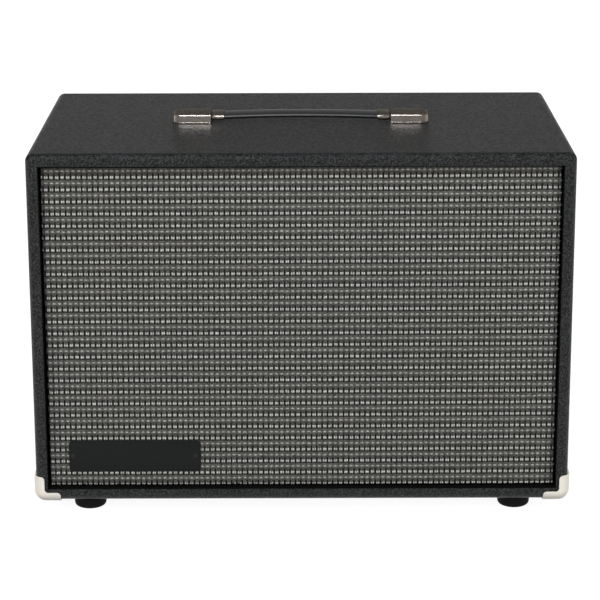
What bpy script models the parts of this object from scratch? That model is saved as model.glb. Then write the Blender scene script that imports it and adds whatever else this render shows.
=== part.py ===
"""Bass speaker cabinet with one 12 inch driver, built as separate parts.

Metres, +Z up. The grille faces -Y and the floor is Z = 0, under the rubber feet.
"""

import math

import bmesh
import bpy
from mathutils import Matrix, Vector

MM = 0.001

# Cabinet box, without its feet
CABINET_WIDTH = 570 * MM
CABINET_HEIGHT = 380 * MM
CABINET_DEPTH = 340 * MM
EDGE_RADIUS = 8 * MM
BOARD = 11 * MM
COVERING = 0.7 * MM
FIT_GAP = 0.3 * MM
CUT_MARGIN = 5 * MM

# Grille, which sits in the front recess
GRILLE_RECESS = 9 * MM
GRILLE_CLEARANCE = 2 * MM
CLOTH = 0.8 * MM
CLOTH_FOLD = 12 * MM
FRAME_BAR_WIDTH = 16 * MM
FRAME_BAR_THICKNESS = 12 * MM

# Baffle, back panel and the battens that carry them
BAFFLE = 15 * MM
BACK_PANEL = 15 * MM
BACK_RECESS = 10 * MM
PANEL_CLEARANCE = 1 * MM
BATTEN = 18 * MM

# Name plate, left bare
PLATE_WIDTH = 141 * MM
PLATE_HEIGHT = 35 * MM
PLATE_THICKNESS = 1.2 * MM
PLATE_CORNER = 5 * MM
PLATE_FROM_SIDE = 106.5 * MM
PLATE_FROM_BOTTOM = 48.3 * MM

# Corner protectors at the bottom corners
CORNER_THICKNESS = 1.8 * MM
CORNER_ARM_WIDTH = 9.5 * MM
CORNER_ARM_LENGTH = 26.5 * MM
CORNER_FRONT_HEIGHT = 26 * MM
CORNER_SIDE_HEIGHT = 30 * MM
CORNER_FLANGE_DEPTH = 32 * MM
CORNER_ROUNDING = 12 * MM

# Rubber feet
FOOT_HEIGHT = 15 * MM
FOOT_TOP_RADIUS = 17.5 * MM
FOOT_BOTTOM_RADIUS = 14.5 * MM
FOOT_FROM_SIDE = 55.5 * MM
FOOT_FROM_FRONT = 30 * MM
FOOT_SCREW_RADIUS = 2.4 * MM

# Strap handle on the top board
HANDLE_SET_BACK = 3 * MM
CAP_LENGTH = 42 * MM
CAP_DEPTH = 36 * MM
CAP_HEIGHT = 10.5 * MM
CAP_MOUTH = 98.8 * MM
CAP_CORNER = 10 * MM
CAP_SIDE_WALL = 5 * MM
BOSS_RADIUS = 4.2 * MM
HANDLE_BOLT_RADIUS = 2.4 * MM
SLEEVE_LENGTH = 13 * MM
SLEEVE_WIDTH = 32 * MM
SLEEVE_HEIGHT = 6.4 * MM
SLEEVE_FROM_TOP_BOARD = 3 * MM
TONGUE_WIDTH = 20 * MM
TONGUE_THICKNESS = 2.4 * MM
STRAP_WIDTH = 30 * MM
STRAP_EDGE = 2 * MM
STRAP_CROWN = 4.2 * MM
STRAP_END_HEIGHT = 4.5 * MM
STRAP_BOW = 1.7 * MM
GRIP_HALF_LENGTH = 40 * MM
END_TRAVEL = 4.5 * MM

# Bass driver, with heights from the front of the baffle and positive to the front
DRIVER_FRAME_RADIUS = 156 * MM
DRIVER_SEAT_WIDTH = 14 * MM
DRIVER_BOLT_INSET = 6.5 * MM
DRIVER_BOLT_RADIUS = 2.4 * MM
DRIVER_BOLTS = 4
FLANGE_THICKNESS = 5 * MM
BASKET_WALL = 2.5 * MM
BASKET_LAND = 1.5 * MM
BASKET_WINDOWS = 6
CONE_THICKNESS = 1 * MM
CONE_DEPTH = 52 * MM
SURROUND_WIDTH = 17 * MM
SURROUND_FROM_EDGE = 15 * MM
SURROUND_RISE = 6 * MM
COIL_RADIUS = 32 * MM
COIL_WALL = 0.8 * MM
COIL_LENGTH = 42 * MM
COIL_CLEARANCE = 0.5 * MM
DUST_CAP_LAP = 14 * MM
DUST_CAP_RISE = 14 * MM
SPIDER_RADIUS = 72 * MM
SPIDER_DEPTH = 64 * MM
MOTOR_DEPTH = 84 * MM
TOP_PLATE_RADIUS = 62 * MM
TOP_PLATE = 8 * MM
MAGNET_RADIUS = 78 * MM
MAGNET = 22 * MM

# Ports in the lower corners of the baffle
PORT_RADIUS = 38 * MM
PORT_WALL = 3 * MM
PORT_LENGTH = 110 * MM
PORT_FLANGE = 10 * MM
PORT_FLANGE_THICKNESS = 3 * MM
PORT_FROM_SIDE_BATTEN = 5.7 * MM
PORT_FROM_BOTTOM_BATTEN = 8.7 * MM

# Jack dish in the back panel
DISH_WIDTH = 92 * MM
DISH_HEIGHT = 58 * MM
DISH_DEPTH = 24 * MM
DISH_WALL = 2 * MM
DISH_FLANGE = 12 * MM
DISH_CORNER = 8 * MM
JACK_SPACING = 40 * MM
JACK_BORE_RADIUS = 3.3 * MM
JACK_BUSH_RADIUS = 4.8 * MM
JACK_BODY_RADIUS = 9 * MM
JACK_BODY_LENGTH = 26 * MM
LEAD_RADIUS = 2.5 * MM

ROUND_STEPS = 32
SMALL_STEPS = 20
SCREW_STEPS = 10

# Worked out from the sizes above
SKIN = COVERING + FIT_GAP
HALF_BOX = Vector((CABINET_WIDTH, CABINET_DEPTH, CABINET_HEIGHT)) / 2
BOARD_X = HALF_BOX.x - SKIN - BOARD
BOARD_Z = HALF_BOX.z - SKIN - BOARD
OPENING_X = BOARD_X - SKIN
OPENING_Z = BOARD_Z - SKIN
FAR = HALF_BOX.length * 2
FLOOR_TO_CENTRE = FOOT_HEIGHT + HALF_BOX.z
FRAME_BACK = -GRILLE_RECESS - CLOTH - FIT_GAP - FRAME_BAR_THICKNESS
CLOTH_BACK = FRAME_BACK - FIT_GAP - CLOTH
BAFFLE_FRONT = CLOTH_BACK - FIT_GAP
BAFFLE_BACK = BAFFLE_FRONT - BAFFLE
BACK_BATTEN_TOP = -BACK_RECESS - BACK_PANEL - FIT_GAP
CLOTH_X = OPENING_X - GRILLE_CLEARANCE
CLOTH_Z = OPENING_Z - GRILLE_CLEARANCE
BOSS_FROM_MOUTH = 15.2 * MM
DRIVER_CUTOUT_RADIUS = DRIVER_FRAME_RADIUS - DRIVER_SEAT_WIDTH
DRIVER_BOLT_CIRCLE = DRIVER_FRAME_RADIUS - DRIVER_BOLT_INSET
CONE_RADIUS = DRIVER_FRAME_RADIUS - SURROUND_FROM_EDGE - SURROUND_WIDTH
PORT_OUTSIDE = PORT_RADIUS + PORT_WALL + PORT_FLANGE
PORT_OUT = BOARD_X - FIT_GAP - BATTEN - PORT_FROM_SIDE_BATTEN - PORT_OUTSIDE
PORT_DOWN = BOARD_Z - FIT_GAP - BATTEN - PORT_FROM_BOTTOM_BATTEN - PORT_OUTSIDE


def srgb(code):
    """Linear colour of a six-digit sRGB code."""
    values = [int(code[i:i + 2], 16) / 255 for i in (0, 2, 4)]
    return [v / 12.92 if v < 0.04045 else ((v + 0.055) / 1.055) ** 2.4 for v in values] + [1.0]


FINISHES = {
    "plywood": ("b9946a", 0.7, 0.0),
    "black_paint": ("232323", 0.75, 0.0),
    "vinyl": ("3d3d3c", 0.6, 0.0),
    "cloth": ("5c5b57", 0.8, 0.0),
    "ivory_plastic": ("e2dccf", 0.45, 0.0),
    "rubber": ("1d1d1d", 0.8, 0.0),
    "chrome": ("d0d0d0", 0.15, 1.0),
    "zinc": ("9a9a98", 0.35, 1.0),
    "black_steel": ("1c1c1c", 0.45, 0.6),
    "black_plastic": ("1b1b1b", 0.5, 0.0),
    "paper": ("26241f", 0.85, 0.0),
    "treated_cloth": ("8a6b33", 0.85, 0.0),
    "ferrite": ("3a3b3d", 0.6, 0.0),
    "steel": ("85868a", 0.4, 1.0),
}


def finish(obj, name):
    """Give a piece a material of its own and smooth its round faces."""
    code, roughness, metallic = FINISHES[name]
    material = bpy.data.materials.new(obj.name)
    material.use_nodes = True
    shader = material.node_tree.nodes["Principled BSDF"]
    shader.inputs["Base Color"].default_value = srgb(code)
    shader.inputs["Roughness"].default_value = roughness
    shader.inputs["Metallic"].default_value = metallic
    obj.data.materials.clear()
    obj.data.materials.append(material)
    obj.data.shade_smooth()
    obj.data.set_sharp_from_angle(angle=math.radians(32))


def to_object(bm, name):
    """Close a bmesh as a linked object with its faces pointing out."""
    bmesh.ops.remove_doubles(bm, verts=bm.verts, dist=1e-6)
    bmesh.ops.recalc_face_normals(bm, faces=bm.faces)
    mesh = bpy.data.meshes.new(name)
    bm.to_mesh(mesh)
    bm.free()
    obj = bpy.data.objects.new(name, mesh)
    bpy.context.scene.collection.objects.link(obj)
    return obj


def combine(target, tool, operation):
    """Apply one boolean to target and remove the tool."""
    step = target.modifiers.new("combine", "BOOLEAN")
    step.operation = operation
    step.object = tool
    bpy.context.view_layer.update()
    evaluated = target.evaluated_get(bpy.context.evaluated_depsgraph_get())
    mesh = bpy.data.meshes.new_from_object(evaluated)
    target.modifiers.remove(step)
    target.data = mesh
    bpy.data.objects.remove(tool)
    return target


def cut(target, bm):
    return combine(target, to_object(bm, "cutter"), "DIFFERENCE")


def keep(target, bm):
    return combine(target, to_object(bm, "keeper"), "INTERSECT")


def join(target, bm):
    return combine(target, to_object(bm, "joiner"), "UNION")


def box(low, high):
    bm = bmesh.new()
    bmesh.ops.create_cube(bm, size=1)
    low, high = Vector(low), Vector(high)
    bmesh.ops.scale(bm, vec=high - low, verts=bm.verts)
    bmesh.ops.translate(bm, vec=(low + high) / 2, verts=bm.verts)
    return bm


def centred_box(half):
    return box(-Vector(half), half)


def round_edges(bm, edges, radius, steps=4):
    bmesh.ops.bevel(bm, geom=list(edges), offset=radius, segments=steps, profile=0.5, affect="EDGES",
                    material=-1)
    return bm


def rounded_box(half, radius, steps=4):
    bm = centred_box(half)
    return round_edges(bm, bm.edges, radius, steps)


def arc(centre, radius, start, end, steps):
    """Points on an arc, with angles in degrees."""
    angles = [math.radians(start + (end - start) * i / steps) for i in range(steps + 1)]
    return [(centre[0] + radius * math.cos(a), centre[1] + radius * math.sin(a)) for a in angles]


def rounded_outline(half_width, half_height, radius, steps=5):
    corners = [(1, 1, 0), (-1, 1, 90), (-1, -1, 180), (1, -1, 270)]
    outline = []
    for sx, sy, start in corners:
        centre = (sx * (half_width - radius), sy * (half_height - radius))
        outline += arc(centre, radius, start, start + 90, steps)
    return outline


def prism(outline, low, high):
    """Outline in X and Y, extruded from low to high along Z."""
    bm = bmesh.new()
    face = bm.faces.new([bm.verts.new((x, y, low)) for x, y in outline])
    lifted = bmesh.ops.extrude_face_region(bm, geom=[face])["geom"]
    top = [v for v in lifted if isinstance(v, bmesh.types.BMVert)]
    bmesh.ops.translate(bm, vec=(0, 0, high - low), verts=top)
    return bm


def turned(outline, steps=ROUND_STEPS, closed=True):
    """Outline of (radius, height) points turned about Z; an open outline ends on the axis."""
    bm = bmesh.new()
    verts = [bm.verts.new((radius, 0, height)) for radius, height in outline]
    pairs = list(zip(verts, verts[1:]))
    if closed:
        pairs.append((verts[-1], verts[0]))
    edges = [bm.edges.new(pair) for pair in pairs]
    bmesh.ops.spin(bm, geom=verts + edges, cent=(0, 0, 0), axis=(0, 0, 1), angle=math.tau, steps=steps,
                   use_merge=True)
    return bm


def loft(sections):
    """Solid through sections of equal point count, with flat ends."""
    bm = bmesh.new()
    rings = [[bm.verts.new(point) for point in section] for section in sections]
    for first, second in zip(rings, rings[1:]):
        for i in range(len(first)):
            j = (i + 1) % len(first)
            bm.faces.new((first[i], first[j], second[j], second[i]))
    bm.faces.new(reversed(rings[0]))
    bm.faces.new(rings[-1])
    return bm


def rod(radius, low, high, steps=SCREW_STEPS):
    return turned([(0, low), (radius, low), (radius, high), (0, high)], steps, closed=False)


def copies(shape, places):
    """One bmesh with shape at each place, where a place is a point or a matrix."""
    mesh = bpy.data.meshes.new("copy")
    bmesh.ops.remove_doubles(shape, verts=shape.verts, dist=1e-6)
    shape.to_mesh(mesh)
    shape.free()
    bm = bmesh.new()
    for place in places:
        matrix = place if isinstance(place, Matrix) else Matrix.Translation(place)
        moved = mesh.copy()
        moved.transform(matrix)
        bm.from_mesh(moved)
        bpy.data.meshes.remove(moved)
    bpy.data.meshes.remove(mesh)
    return bm


def turned_bm(bm, matrix):
    bmesh.ops.transform(bm, matrix=matrix, verts=bm.verts)
    return bm


def empty(name, location, turn=(0, 0, 0), parent=None):
    obj = bpy.data.objects.new(name, None)
    obj.location = location
    obj.rotation_euler = [math.radians(angle) for angle in turn]
    obj.parent = parent
    bpy.context.scene.collection.objects.link(obj)
    return obj


def place(obj, parent, material, location=(0, 0, 0)):
    obj.parent = parent
    obj.location = location
    finish(obj, material)
    return obj


def foot_places():
    """Centres of the feet on the underside, from the cabinet's centre."""
    x = HALF_BOX.x - FOOT_FROM_SIDE
    y = HALF_BOX.y - FOOT_FROM_FRONT
    names = ("front_left", "front_right", "rear_left", "rear_right")
    return list(zip(names, [(-x, -y), (x, -y), (-x, y), (x, y)]))


def handle_bolt_places():
    first = CAP_MOUTH + BOSS_FROM_MOUTH
    return [("left", -first), ("right", first)]


def covering_holes():
    """Holes through the covering and into the boards for the foot screws and handle bolts."""
    feet = copies(rod(FOOT_SCREW_RADIUS + FIT_GAP, -4 * MM, SKIN + BOARD - 2 * MM),
                  [(x, y, -HALF_BOX.z) for _, (x, y) in foot_places()])
    handle = copies(rod(HANDLE_BOLT_RADIUS + FIT_GAP, -2 * BOARD - SKIN, 4 * MM),
                    [(x, HANDLE_SET_BACK, HALF_BOX.z) for _, x in handle_bolt_places()])
    return feet, handle


def make_boards(cabinet):
    """Four plywood boards whose outer edges are rounded over."""
    half = HALF_BOX - Vector((SKIN, SKIN, SKIN))
    side_z = BOARD_Z - FIT_GAP
    regions = {
        "top_board": ((-FAR, -FAR, BOARD_Z), (FAR, FAR, FAR)),
        "bottom_board": ((-FAR, -FAR, -FAR), (FAR, FAR, -BOARD_Z)),
        "left_board": ((-FAR, -FAR, -side_z), (-BOARD_X, FAR, side_z)),
        "right_board": ((BOARD_X, -FAR, -side_z), (FAR, FAR, side_z)),
    }
    for name, (low, high) in regions.items():
        board = keep(to_object(rounded_box(half, EDGE_RADIUS - SKIN), name), box(low, high))
        for holes in covering_holes():
            cut(board, holes)
        place(board, cabinet, "plywood")


def make_covering(cabinet):
    """Vinyl covering, glued on and folded round the front and back edges of the boards."""
    skin = Vector((COVERING, COVERING, COVERING))
    covering = to_object(rounded_box(HALF_BOX, EDGE_RADIUS), "vinyl_covering")
    void = to_object(rounded_box(HALF_BOX - skin, EDGE_RADIUS - COVERING), "board_space")
    fold_half = Vector((OPENING_X + COVERING, FAR, OPENING_Z + COVERING))
    cut(void, centred_box(fold_half))
    combine(covering, void, "DIFFERENCE")
    cut(covering, centred_box((OPENING_X, FAR, OPENING_Z)))
    front_end = -HALF_BOX.y - BAFFLE_FRONT - FIT_GAP
    back_end = HALF_BOX.y - BACK_RECESS + FIT_GAP
    inner = Vector((OPENING_X + SKIN - FIT_GAP / 2, 0, OPENING_Z + SKIN - FIT_GAP / 2))
    cut(covering, box((-inner.x, front_end, -inner.z), (inner.x, back_end, inner.z)))
    for holes in covering_holes():
        cut(covering, holes)
    place(covering, cabinet, "vinyl")


def make_battens(parent, prefix, top):
    """Four battens glued inside the boards, with their outer faces at height top."""
    x = BOARD_X - FIT_GAP
    z = BOARD_Z - FIT_GAP
    low, high = top - BATTEN, top
    side_end = z - BATTEN - FIT_GAP
    bars = {
        "top": ((-x, z - BATTEN), (x, z)),
        "bottom": ((-x, -z), (x, BATTEN - z)),
        "left": ((-x, -side_end), (BATTEN - x, side_end)),
        "right": ((x - BATTEN, -side_end), (x, side_end)),
    }
    for side, (first, last) in bars.items():
        batten = to_object(box((*first, low), (*last, high)), f"{prefix}_batten_{side}")
        place(batten, parent, "plywood")


def make_baffle(front):
    """Baffle with the driver, bolt and port holes."""
    half_x, half_z = BOARD_X - PANEL_CLEARANCE, BOARD_Z - PANEL_CLEARANCE
    baffle = to_object(box((-half_x, -half_z, BAFFLE_BACK), (half_x, half_z, BAFFLE_FRONT)), "baffle_board")
    low, high = BAFFLE_BACK - CUT_MARGIN, BAFFLE_FRONT + CUT_MARGIN
    cut(baffle, rod(DRIVER_CUTOUT_RADIUS, low, high, ROUND_STEPS))
    port_hole = rod(PORT_RADIUS + PORT_WALL + FIT_GAP, low, high, SMALL_STEPS)
    cut(baffle, copies(port_hole, [(side * PORT_OUT, -PORT_DOWN, 0) for side in (-1, 1)]))
    cut(baffle, copies(rod(DRIVER_BOLT_RADIUS + FIT_GAP, low, high), driver_bolt_places()))
    place(baffle, front, "black_paint")


def make_back_panel(back):
    """Closed back panel with the jack dish's cut-out."""
    half_x, half_z = BOARD_X - PANEL_CLEARANCE, BOARD_Z - PANEL_CLEARANCE
    low, high = -BACK_RECESS - BACK_PANEL, -BACK_RECESS
    panel = to_object(box((-half_x, -half_z, low), (half_x, half_z, high)), "back_panel")
    hole = rounded_outline(DISH_WIDTH / 2 + DISH_WALL + FIT_GAP, DISH_HEIGHT / 2 + DISH_WALL + FIT_GAP,
                           DISH_CORNER + DISH_WALL)
    cut(panel, prism(hole, low - CUT_MARGIN, high + CUT_MARGIN))
    place(panel, back, "black_paint")


def make_grille(front):
    """Wooden frame and the woven cloth stretched over it and folded behind."""
    frame_x, frame_z = CLOTH_X - CLOTH - FIT_GAP, CLOTH_Z - CLOTH - FIT_GAP
    frame_front = FRAME_BACK + FRAME_BAR_THICKNESS
    frame = to_object(box((-frame_x, -frame_z, FRAME_BACK), (frame_x, frame_z, frame_front)), "grille_frame")
    inner_x, inner_z = frame_x - FRAME_BAR_WIDTH, frame_z - FRAME_BAR_WIDTH
    cut(frame, box((-inner_x, -inner_z, FRAME_BACK - CUT_MARGIN),
                   (inner_x, inner_z, frame_front + CUT_MARGIN)))
    place(frame, front, "black_paint")

    outer = prism(rounded_outline(CLOTH_X, CLOTH_Z, 2 * MM, 3), CLOTH_BACK, -GRILLE_RECESS)
    cloth = to_object(outer, "grille_cloth")
    cut(cloth, box((-frame_x - FIT_GAP, -frame_z - FIT_GAP, FRAME_BACK - FIT_GAP),
                   (frame_x + FIT_GAP, frame_z + FIT_GAP, frame_front + FIT_GAP)))
    open_x, open_z = CLOTH_X - CLOTH_FOLD, CLOTH_Z - CLOTH_FOLD
    cut(cloth, box((-open_x, -open_z, CLOTH_BACK - CUT_MARGIN), (open_x, open_z, FRAME_BACK)))
    place(cloth, front, "cloth")


def make_name_plate(front):
    """Bare plate at the lower left of the cloth."""
    back = -GRILLE_RECESS + FIT_GAP
    outline = rounded_outline(PLATE_WIDTH / 2, PLATE_HEIGHT / 2, PLATE_CORNER)
    plate = to_object(prism(outline, back, back + PLATE_THICKNESS), "name_plate")
    location = (PLATE_FROM_SIDE - HALF_BOX.x, PLATE_FROM_BOTTOM - HALF_BOX.z, 0)
    place(plate, front, "black_plastic", location)


def make_corners(cabinet):
    """Moulded corner protectors: one shell, mirrored to the four bottom corners."""
    grow = FIT_GAP + CORNER_THICKNESS
    outside = 6 * MM
    x0, y0, z0 = -HALF_BOX
    side = [(-outside, -outside), (-outside, CORNER_FRONT_HEIGHT), (5 * MM, CORNER_FRONT_HEIGHT),
            (12 * MM, CORNER_SIDE_HEIGHT)]
    side += arc((CORNER_FLANGE_DEPTH - CORNER_ROUNDING, CORNER_SIDE_HEIGHT - CORNER_ROUNDING),
                CORNER_ROUNDING, 90, 0, 4)
    side += [(CORNER_FLANGE_DEPTH, -outside)]
    to_side = Matrix(((0, 0, 1, x0), (1, 0, 0, y0), (0, 1, 0, z0), (0, 0, 0, 1)))
    side_prism = prism([(y, z) for y, z in side], -outside, CORNER_ARM_WIDTH)
    round_edges(side_prism, [e for e in side_prism.edges
                             if all(v.co.z > 0 for v in e.verts)], CORNER_ARM_WIDTH * 0.4, 3)
    turned_bm(side_prism, to_side)

    under = [(-outside, -outside), (CORNER_ARM_LENGTH, -outside)]
    under += arc((CORNER_ARM_LENGTH - CORNER_ROUNDING, CORNER_FLANGE_DEPTH - CORNER_ROUNDING),
                 CORNER_ROUNDING, 0, 90, 4)
    under += [(-outside, CORNER_FLANGE_DEPTH)]
    under_prism = prism(under, -outside, CORNER_ARM_WIDTH)
    round_edges(under_prism, [e for e in under_prism.edges
                              if all(v.co.z > 0 for v in e.verts)], CORNER_ARM_WIDTH * 0.4, 3)
    turned_bm(under_prism, Matrix.Translation((x0, y0, z0)))

    shape = join(to_object(side_prism, "corner_shape"), under_prism)
    margin = Vector((grow, grow, grow))
    keep(shape, rounded_box(HALF_BOX + margin, EDGE_RADIUS + grow))
    gap = Vector((FIT_GAP, FIT_GAP, FIT_GAP))
    cut(shape, rounded_box(HALF_BOX + gap, EDGE_RADIUS + FIT_GAP))
    for end, sy in (("front", 1), ("rear", -1)):
        for hand, sx in (("left", 1), ("right", -1)):
            bm = bmesh.new()
            bm.from_mesh(shape.data)
            bmesh.ops.scale(bm, vec=(sx, sy, 1), verts=bm.verts)
            place(to_object(bm, f"corner_{end}_{hand}"), cabinet, "ivory_plastic")
    bpy.data.objects.remove(shape)


def make_feet(cabinet):
    """Turned rubber feet, each on one screw that is sunk in its underside."""
    top = -FIT_GAP
    hole = FOOT_SCREW_RADIUS + FIT_GAP
    well = 6 * MM
    floor = -4.5 * MM
    side = (FOOT_TOP_RADIUS, top), (FOOT_TOP_RADIUS, top - 2.5 * MM)
    heel = 2 * MM
    bottom = arc((FOOT_BOTTOM_RADIUS - heel, heel - FOOT_HEIGHT), heel, 0, -90, 2)
    outline = [(hole, top), *side, *bottom, (well, -FOOT_HEIGHT), (well, floor), (hole, floor)]
    head = [(0, floor - 3.6 * MM), (3.4 * MM, floor - 3.6 * MM), (5 * MM, floor - 2 * MM),
            (5 * MM, floor - FIT_GAP), (FOOT_SCREW_RADIUS, floor - FIT_GAP),
            (FOOT_SCREW_RADIUS, SKIN + BOARD - 4.5 * MM), (0, SKIN + BOARD - 3 * MM)]
    for name, (x, y) in foot_places():
        place(to_object(turned(outline, SMALL_STEPS), f"foot_{name}"), cabinet, "rubber", (x, y, -HALF_BOX.z))
        screw = to_object(turned(head, SCREW_STEPS, closed=False), f"foot_screw_{name}")
        place(screw, cabinet, "zinc", (x, y, -HALF_BOX.z))


def cap_plan(inset, height):
    """One level of the right handle cap: square at the mouth, rounded at the outer end."""
    half = CAP_DEPTH / 2 - inset
    end = CAP_MOUTH + CAP_LENGTH - inset
    radius = max(CAP_CORNER - inset * 0.6, 3 * MM)
    points = [(CAP_MOUTH, -half)]
    points += arc((end - radius, radius - half), radius, -90, 0, 5)
    points += arc((end - radius, half - radius), radius, 0, 90, 5)
    points += [(CAP_MOUTH, half)]
    return [(x, y, height) for x, y in points]


def make_handle_cap(handle, name, side):
    """Chrome cap that holds one end of the strap; a boss inside takes the bolt and stops the strap."""
    levels = [(0, FIT_GAP), (0, 1.2 * MM), (0.9 * MM, 1.6 * MM), (1.3 * MM, 6.6 * MM), (2.2 * MM, 8.2 * MM),
              (4 * MM, 9.2 * MM), (8 * MM, CAP_HEIGHT - 0.5 * MM), (13 * MM, CAP_HEIGHT)]
    cap = to_object(loft([cap_plan(*level) for level in levels]), name)
    half = CAP_DEPTH / 2 - CAP_SIDE_WALL
    pocket = CAP_MOUTH + CAP_LENGTH - 11.5 * MM
    cut(cap, box((CAP_MOUTH - 5 * MM, -half, 1.7 * MM), (pocket, half, 7.4 * MM)))
    boss_x = CAP_MOUTH + BOSS_FROM_MOUTH
    boss = rod(BOSS_RADIUS, 1 * MM, 8 * MM, SMALL_STEPS)
    join(cap, turned_bm(boss, Matrix.Translation((boss_x, 0, 0))))
    cut(cap, copies(rod(HANDLE_BOLT_RADIUS + FIT_GAP, -3 * MM, 6.8 * MM), [(boss_x, 0, 0)]))
    turn = Matrix.Diagonal((side, 1, 1, 1))
    cap.data.transform(turn)
    if side < 0:
        cap.data.flip_normals()
    place(cap, handle, "chrome")


def make_strap_fitting(parent, name, side, origin):
    """Sleeve crimped on the strap's end, with a slotted tongue that slides round the cap's boss."""
    inner = CAP_MOUTH - 1.5 * MM - SLEEVE_LENGTH
    half = SLEEVE_WIDTH / 2
    low = SLEEVE_FROM_TOP_BOARD
    section = rounded_outline(half, SLEEVE_HEIGHT / 2, 2.4 * MM, 3)
    across = Matrix(((0, 0, 1, 0), (1, 0, 0, 0), (0, 1, 0, low + SLEEVE_HEIGHT / 2), (0, 0, 0, 1)))
    fitting = to_object(turned_bm(prism(section, inner, inner + SLEEVE_LENGTH), across), name)
    boss_x = CAP_MOUTH + BOSS_FROM_MOUTH
    tongue_low = low + (SLEEVE_HEIGHT - TONGUE_THICKNESS) / 2
    tongue_end = boss_x + BOSS_RADIUS + END_TRAVEL + 4.6 * MM
    join(fitting, box((inner + SLEEVE_LENGTH / 2, -TONGUE_WIDTH / 2, tongue_low),
                      (tongue_end, TONGUE_WIDTH / 2, tongue_low + TONGUE_THICKNESS)))
    play = BOSS_RADIUS + 0.6 * MM
    slot = arc((boss_x, 0), play, 90, 270, 8) + arc((boss_x + END_TRAVEL, 0), play, 270, 450, 8)
    cut(fitting, prism(slot, tongue_low - 3 * MM, tongue_low + TONGUE_THICKNESS + 3 * MM))
    fitting.data.transform(Matrix.Diagonal((side, 1, 1, 1)))
    if side < 0:
        fitting.data.flip_normals()
    fitting.data.transform(Matrix.Translation(-Vector(origin)))
    place(fitting, parent, "chrome", origin)


def strap_section(x):
    """Flat underside and domed top, bowed up a little towards the middle of the span."""
    span = CAP_MOUTH - 1.5 * MM - SLEEVE_LENGTH
    base = STRAP_END_HEIGHT + STRAP_BOW * (1 - (x / span) ** 2)
    half = STRAP_WIDTH / 2
    across = [-1, -0.75, -0.4, 0, 0.4, 0.75, 1]
    dome = [(half * t, base + STRAP_EDGE + (STRAP_CROWN - STRAP_EDGE) * (1 - t * t)) for t in across]
    under = [(half, base + 0.5 * MM), (half - 1 * MM, base), (1 * MM - half, base), (-half, base + 0.5 * MM)]
    return [(x, y, z) for y, z in dome + under]


def make_strap(name, first, last, steps, parent, origin):
    stations = [first + (last - first) * i / steps for i in range(steps + 1)]
    strap = to_object(loft([strap_section(x) for x in stations]), name)
    strap.data.transform(Matrix.Translation(-Vector(origin)))
    place(strap, parent, "rubber", origin)


def make_handle(cabinet):
    """Strap handle: two caps bolted to the top board and a strap whose ends slide in them."""
    handle = empty("handle", (0, HANDLE_SET_BACK, HALF_BOX.z), parent=cabinet)
    lift = empty("handle_lift_axis", (0, 0, 0), parent=handle)
    make_handle_cap(handle, "handle_cap_left", -1)
    make_handle_cap(handle, "handle_cap_right", 1)
    span = CAP_MOUTH - 1.5 * MM - SLEEVE_LENGTH
    end = span - FIT_GAP
    for hand, side in (("left", -1), ("right", 1)):
        origin = (side * span, 0, 0)
        make_strap_fitting(lift, f"strap_fitting_{hand}", side, origin)
        first, last = sorted((side * (GRIP_HALF_LENGTH + FIT_GAP), side * end))
        make_strap(f"strap_end_{hand}", first, last, 5, lift, origin)
    make_strap("strap_grip", -GRIP_HALF_LENGTH, GRIP_HALF_LENGTH, 8, lift, (0, 0, 0))

    under = -SKIN - BOARD - FIT_GAP
    head = 4.5 * MM
    bolt = [(0, under - 3.5 * MM), (head, under - 3.5 * MM), (head, under), (HANDLE_BOLT_RADIUS, under),
            (HANDLE_BOLT_RADIUS, 6.2 * MM), (0, 6.2 * MM)]
    for hand, x in handle_bolt_places():
        turned_bolt = to_object(turned(bolt, SCREW_STEPS, closed=False), f"handle_bolt_{hand}")
        place(turned_bolt, handle, "zinc", (x, 0, 0))


def driver_bolt_places():
    angles = [math.tau * (i + 0.5) / DRIVER_BOLTS for i in range(DRIVER_BOLTS)]
    return [(DRIVER_BOLT_CIRCLE * math.cos(a), DRIVER_BOLT_CIRCLE * math.sin(a), 0) for a in angles]


def make_basket(driver):
    """Pressed steel frame: flange, open cone with windows, spider ledge and motor seat."""
    wall = BASKET_WALL
    flange = FIT_GAP + FLANGE_THICKNESS
    throat = DRIVER_CUTOUT_RADIUS - 2 * MM
    land = CONE_RADIUS + SURROUND_WIDTH
    step = FIT_GAP + BASKET_LAND
    ledge = SPIDER_RADIUS + 6 * MM
    inner = COIL_RADIUS + 6 * MM
    seat = -MOTOR_DEPTH + FIT_GAP
    outline = [
        (DRIVER_FRAME_RADIUS, FIT_GAP), (DRIVER_FRAME_RADIUS, flange), (land, flange),
        (land, step), (throat - 6 * MM, step), (throat - 8 * MM, -6 * MM),
        (ledge, -SPIDER_DEPTH - FIT_GAP), (SPIDER_RADIUS - 5 * MM, -SPIDER_DEPTH - FIT_GAP),
        (SPIDER_RADIUS - 7 * MM, seat + wall), (inner, seat + wall), (inner, seat),
        (SPIDER_RADIUS - 5 * MM, seat), (SPIDER_RADIUS - 3 * MM, -SPIDER_DEPTH - wall),
        (ledge + wall, -SPIDER_DEPTH - wall), (throat - 5 * MM, -9 * MM), (throat, -6 * MM),
        (throat, FIT_GAP)]
    basket = to_object(turned(outline), "driver_basket")
    window = [(ledge + 10 * MM, -SPIDER_DEPTH + 4 * MM), (throat + 20 * MM, -SPIDER_DEPTH + 4 * MM),
              (throat + 20 * MM, -14 * MM), (ledge + 10 * MM, -14 * MM)]
    wedge = 360 / BASKET_WINDOWS - 16
    for i in range(BASKET_WINDOWS):
        cut(basket, wedge_of(window, i * 360 / BASKET_WINDOWS - wedge / 2, wedge))
    cut(basket, copies(rod(DRIVER_BOLT_RADIUS + FIT_GAP, -FLANGE_THICKNESS, 3 * FLANGE_THICKNESS),
                       driver_bolt_places()))
    place(basket, driver, "black_steel")


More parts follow.
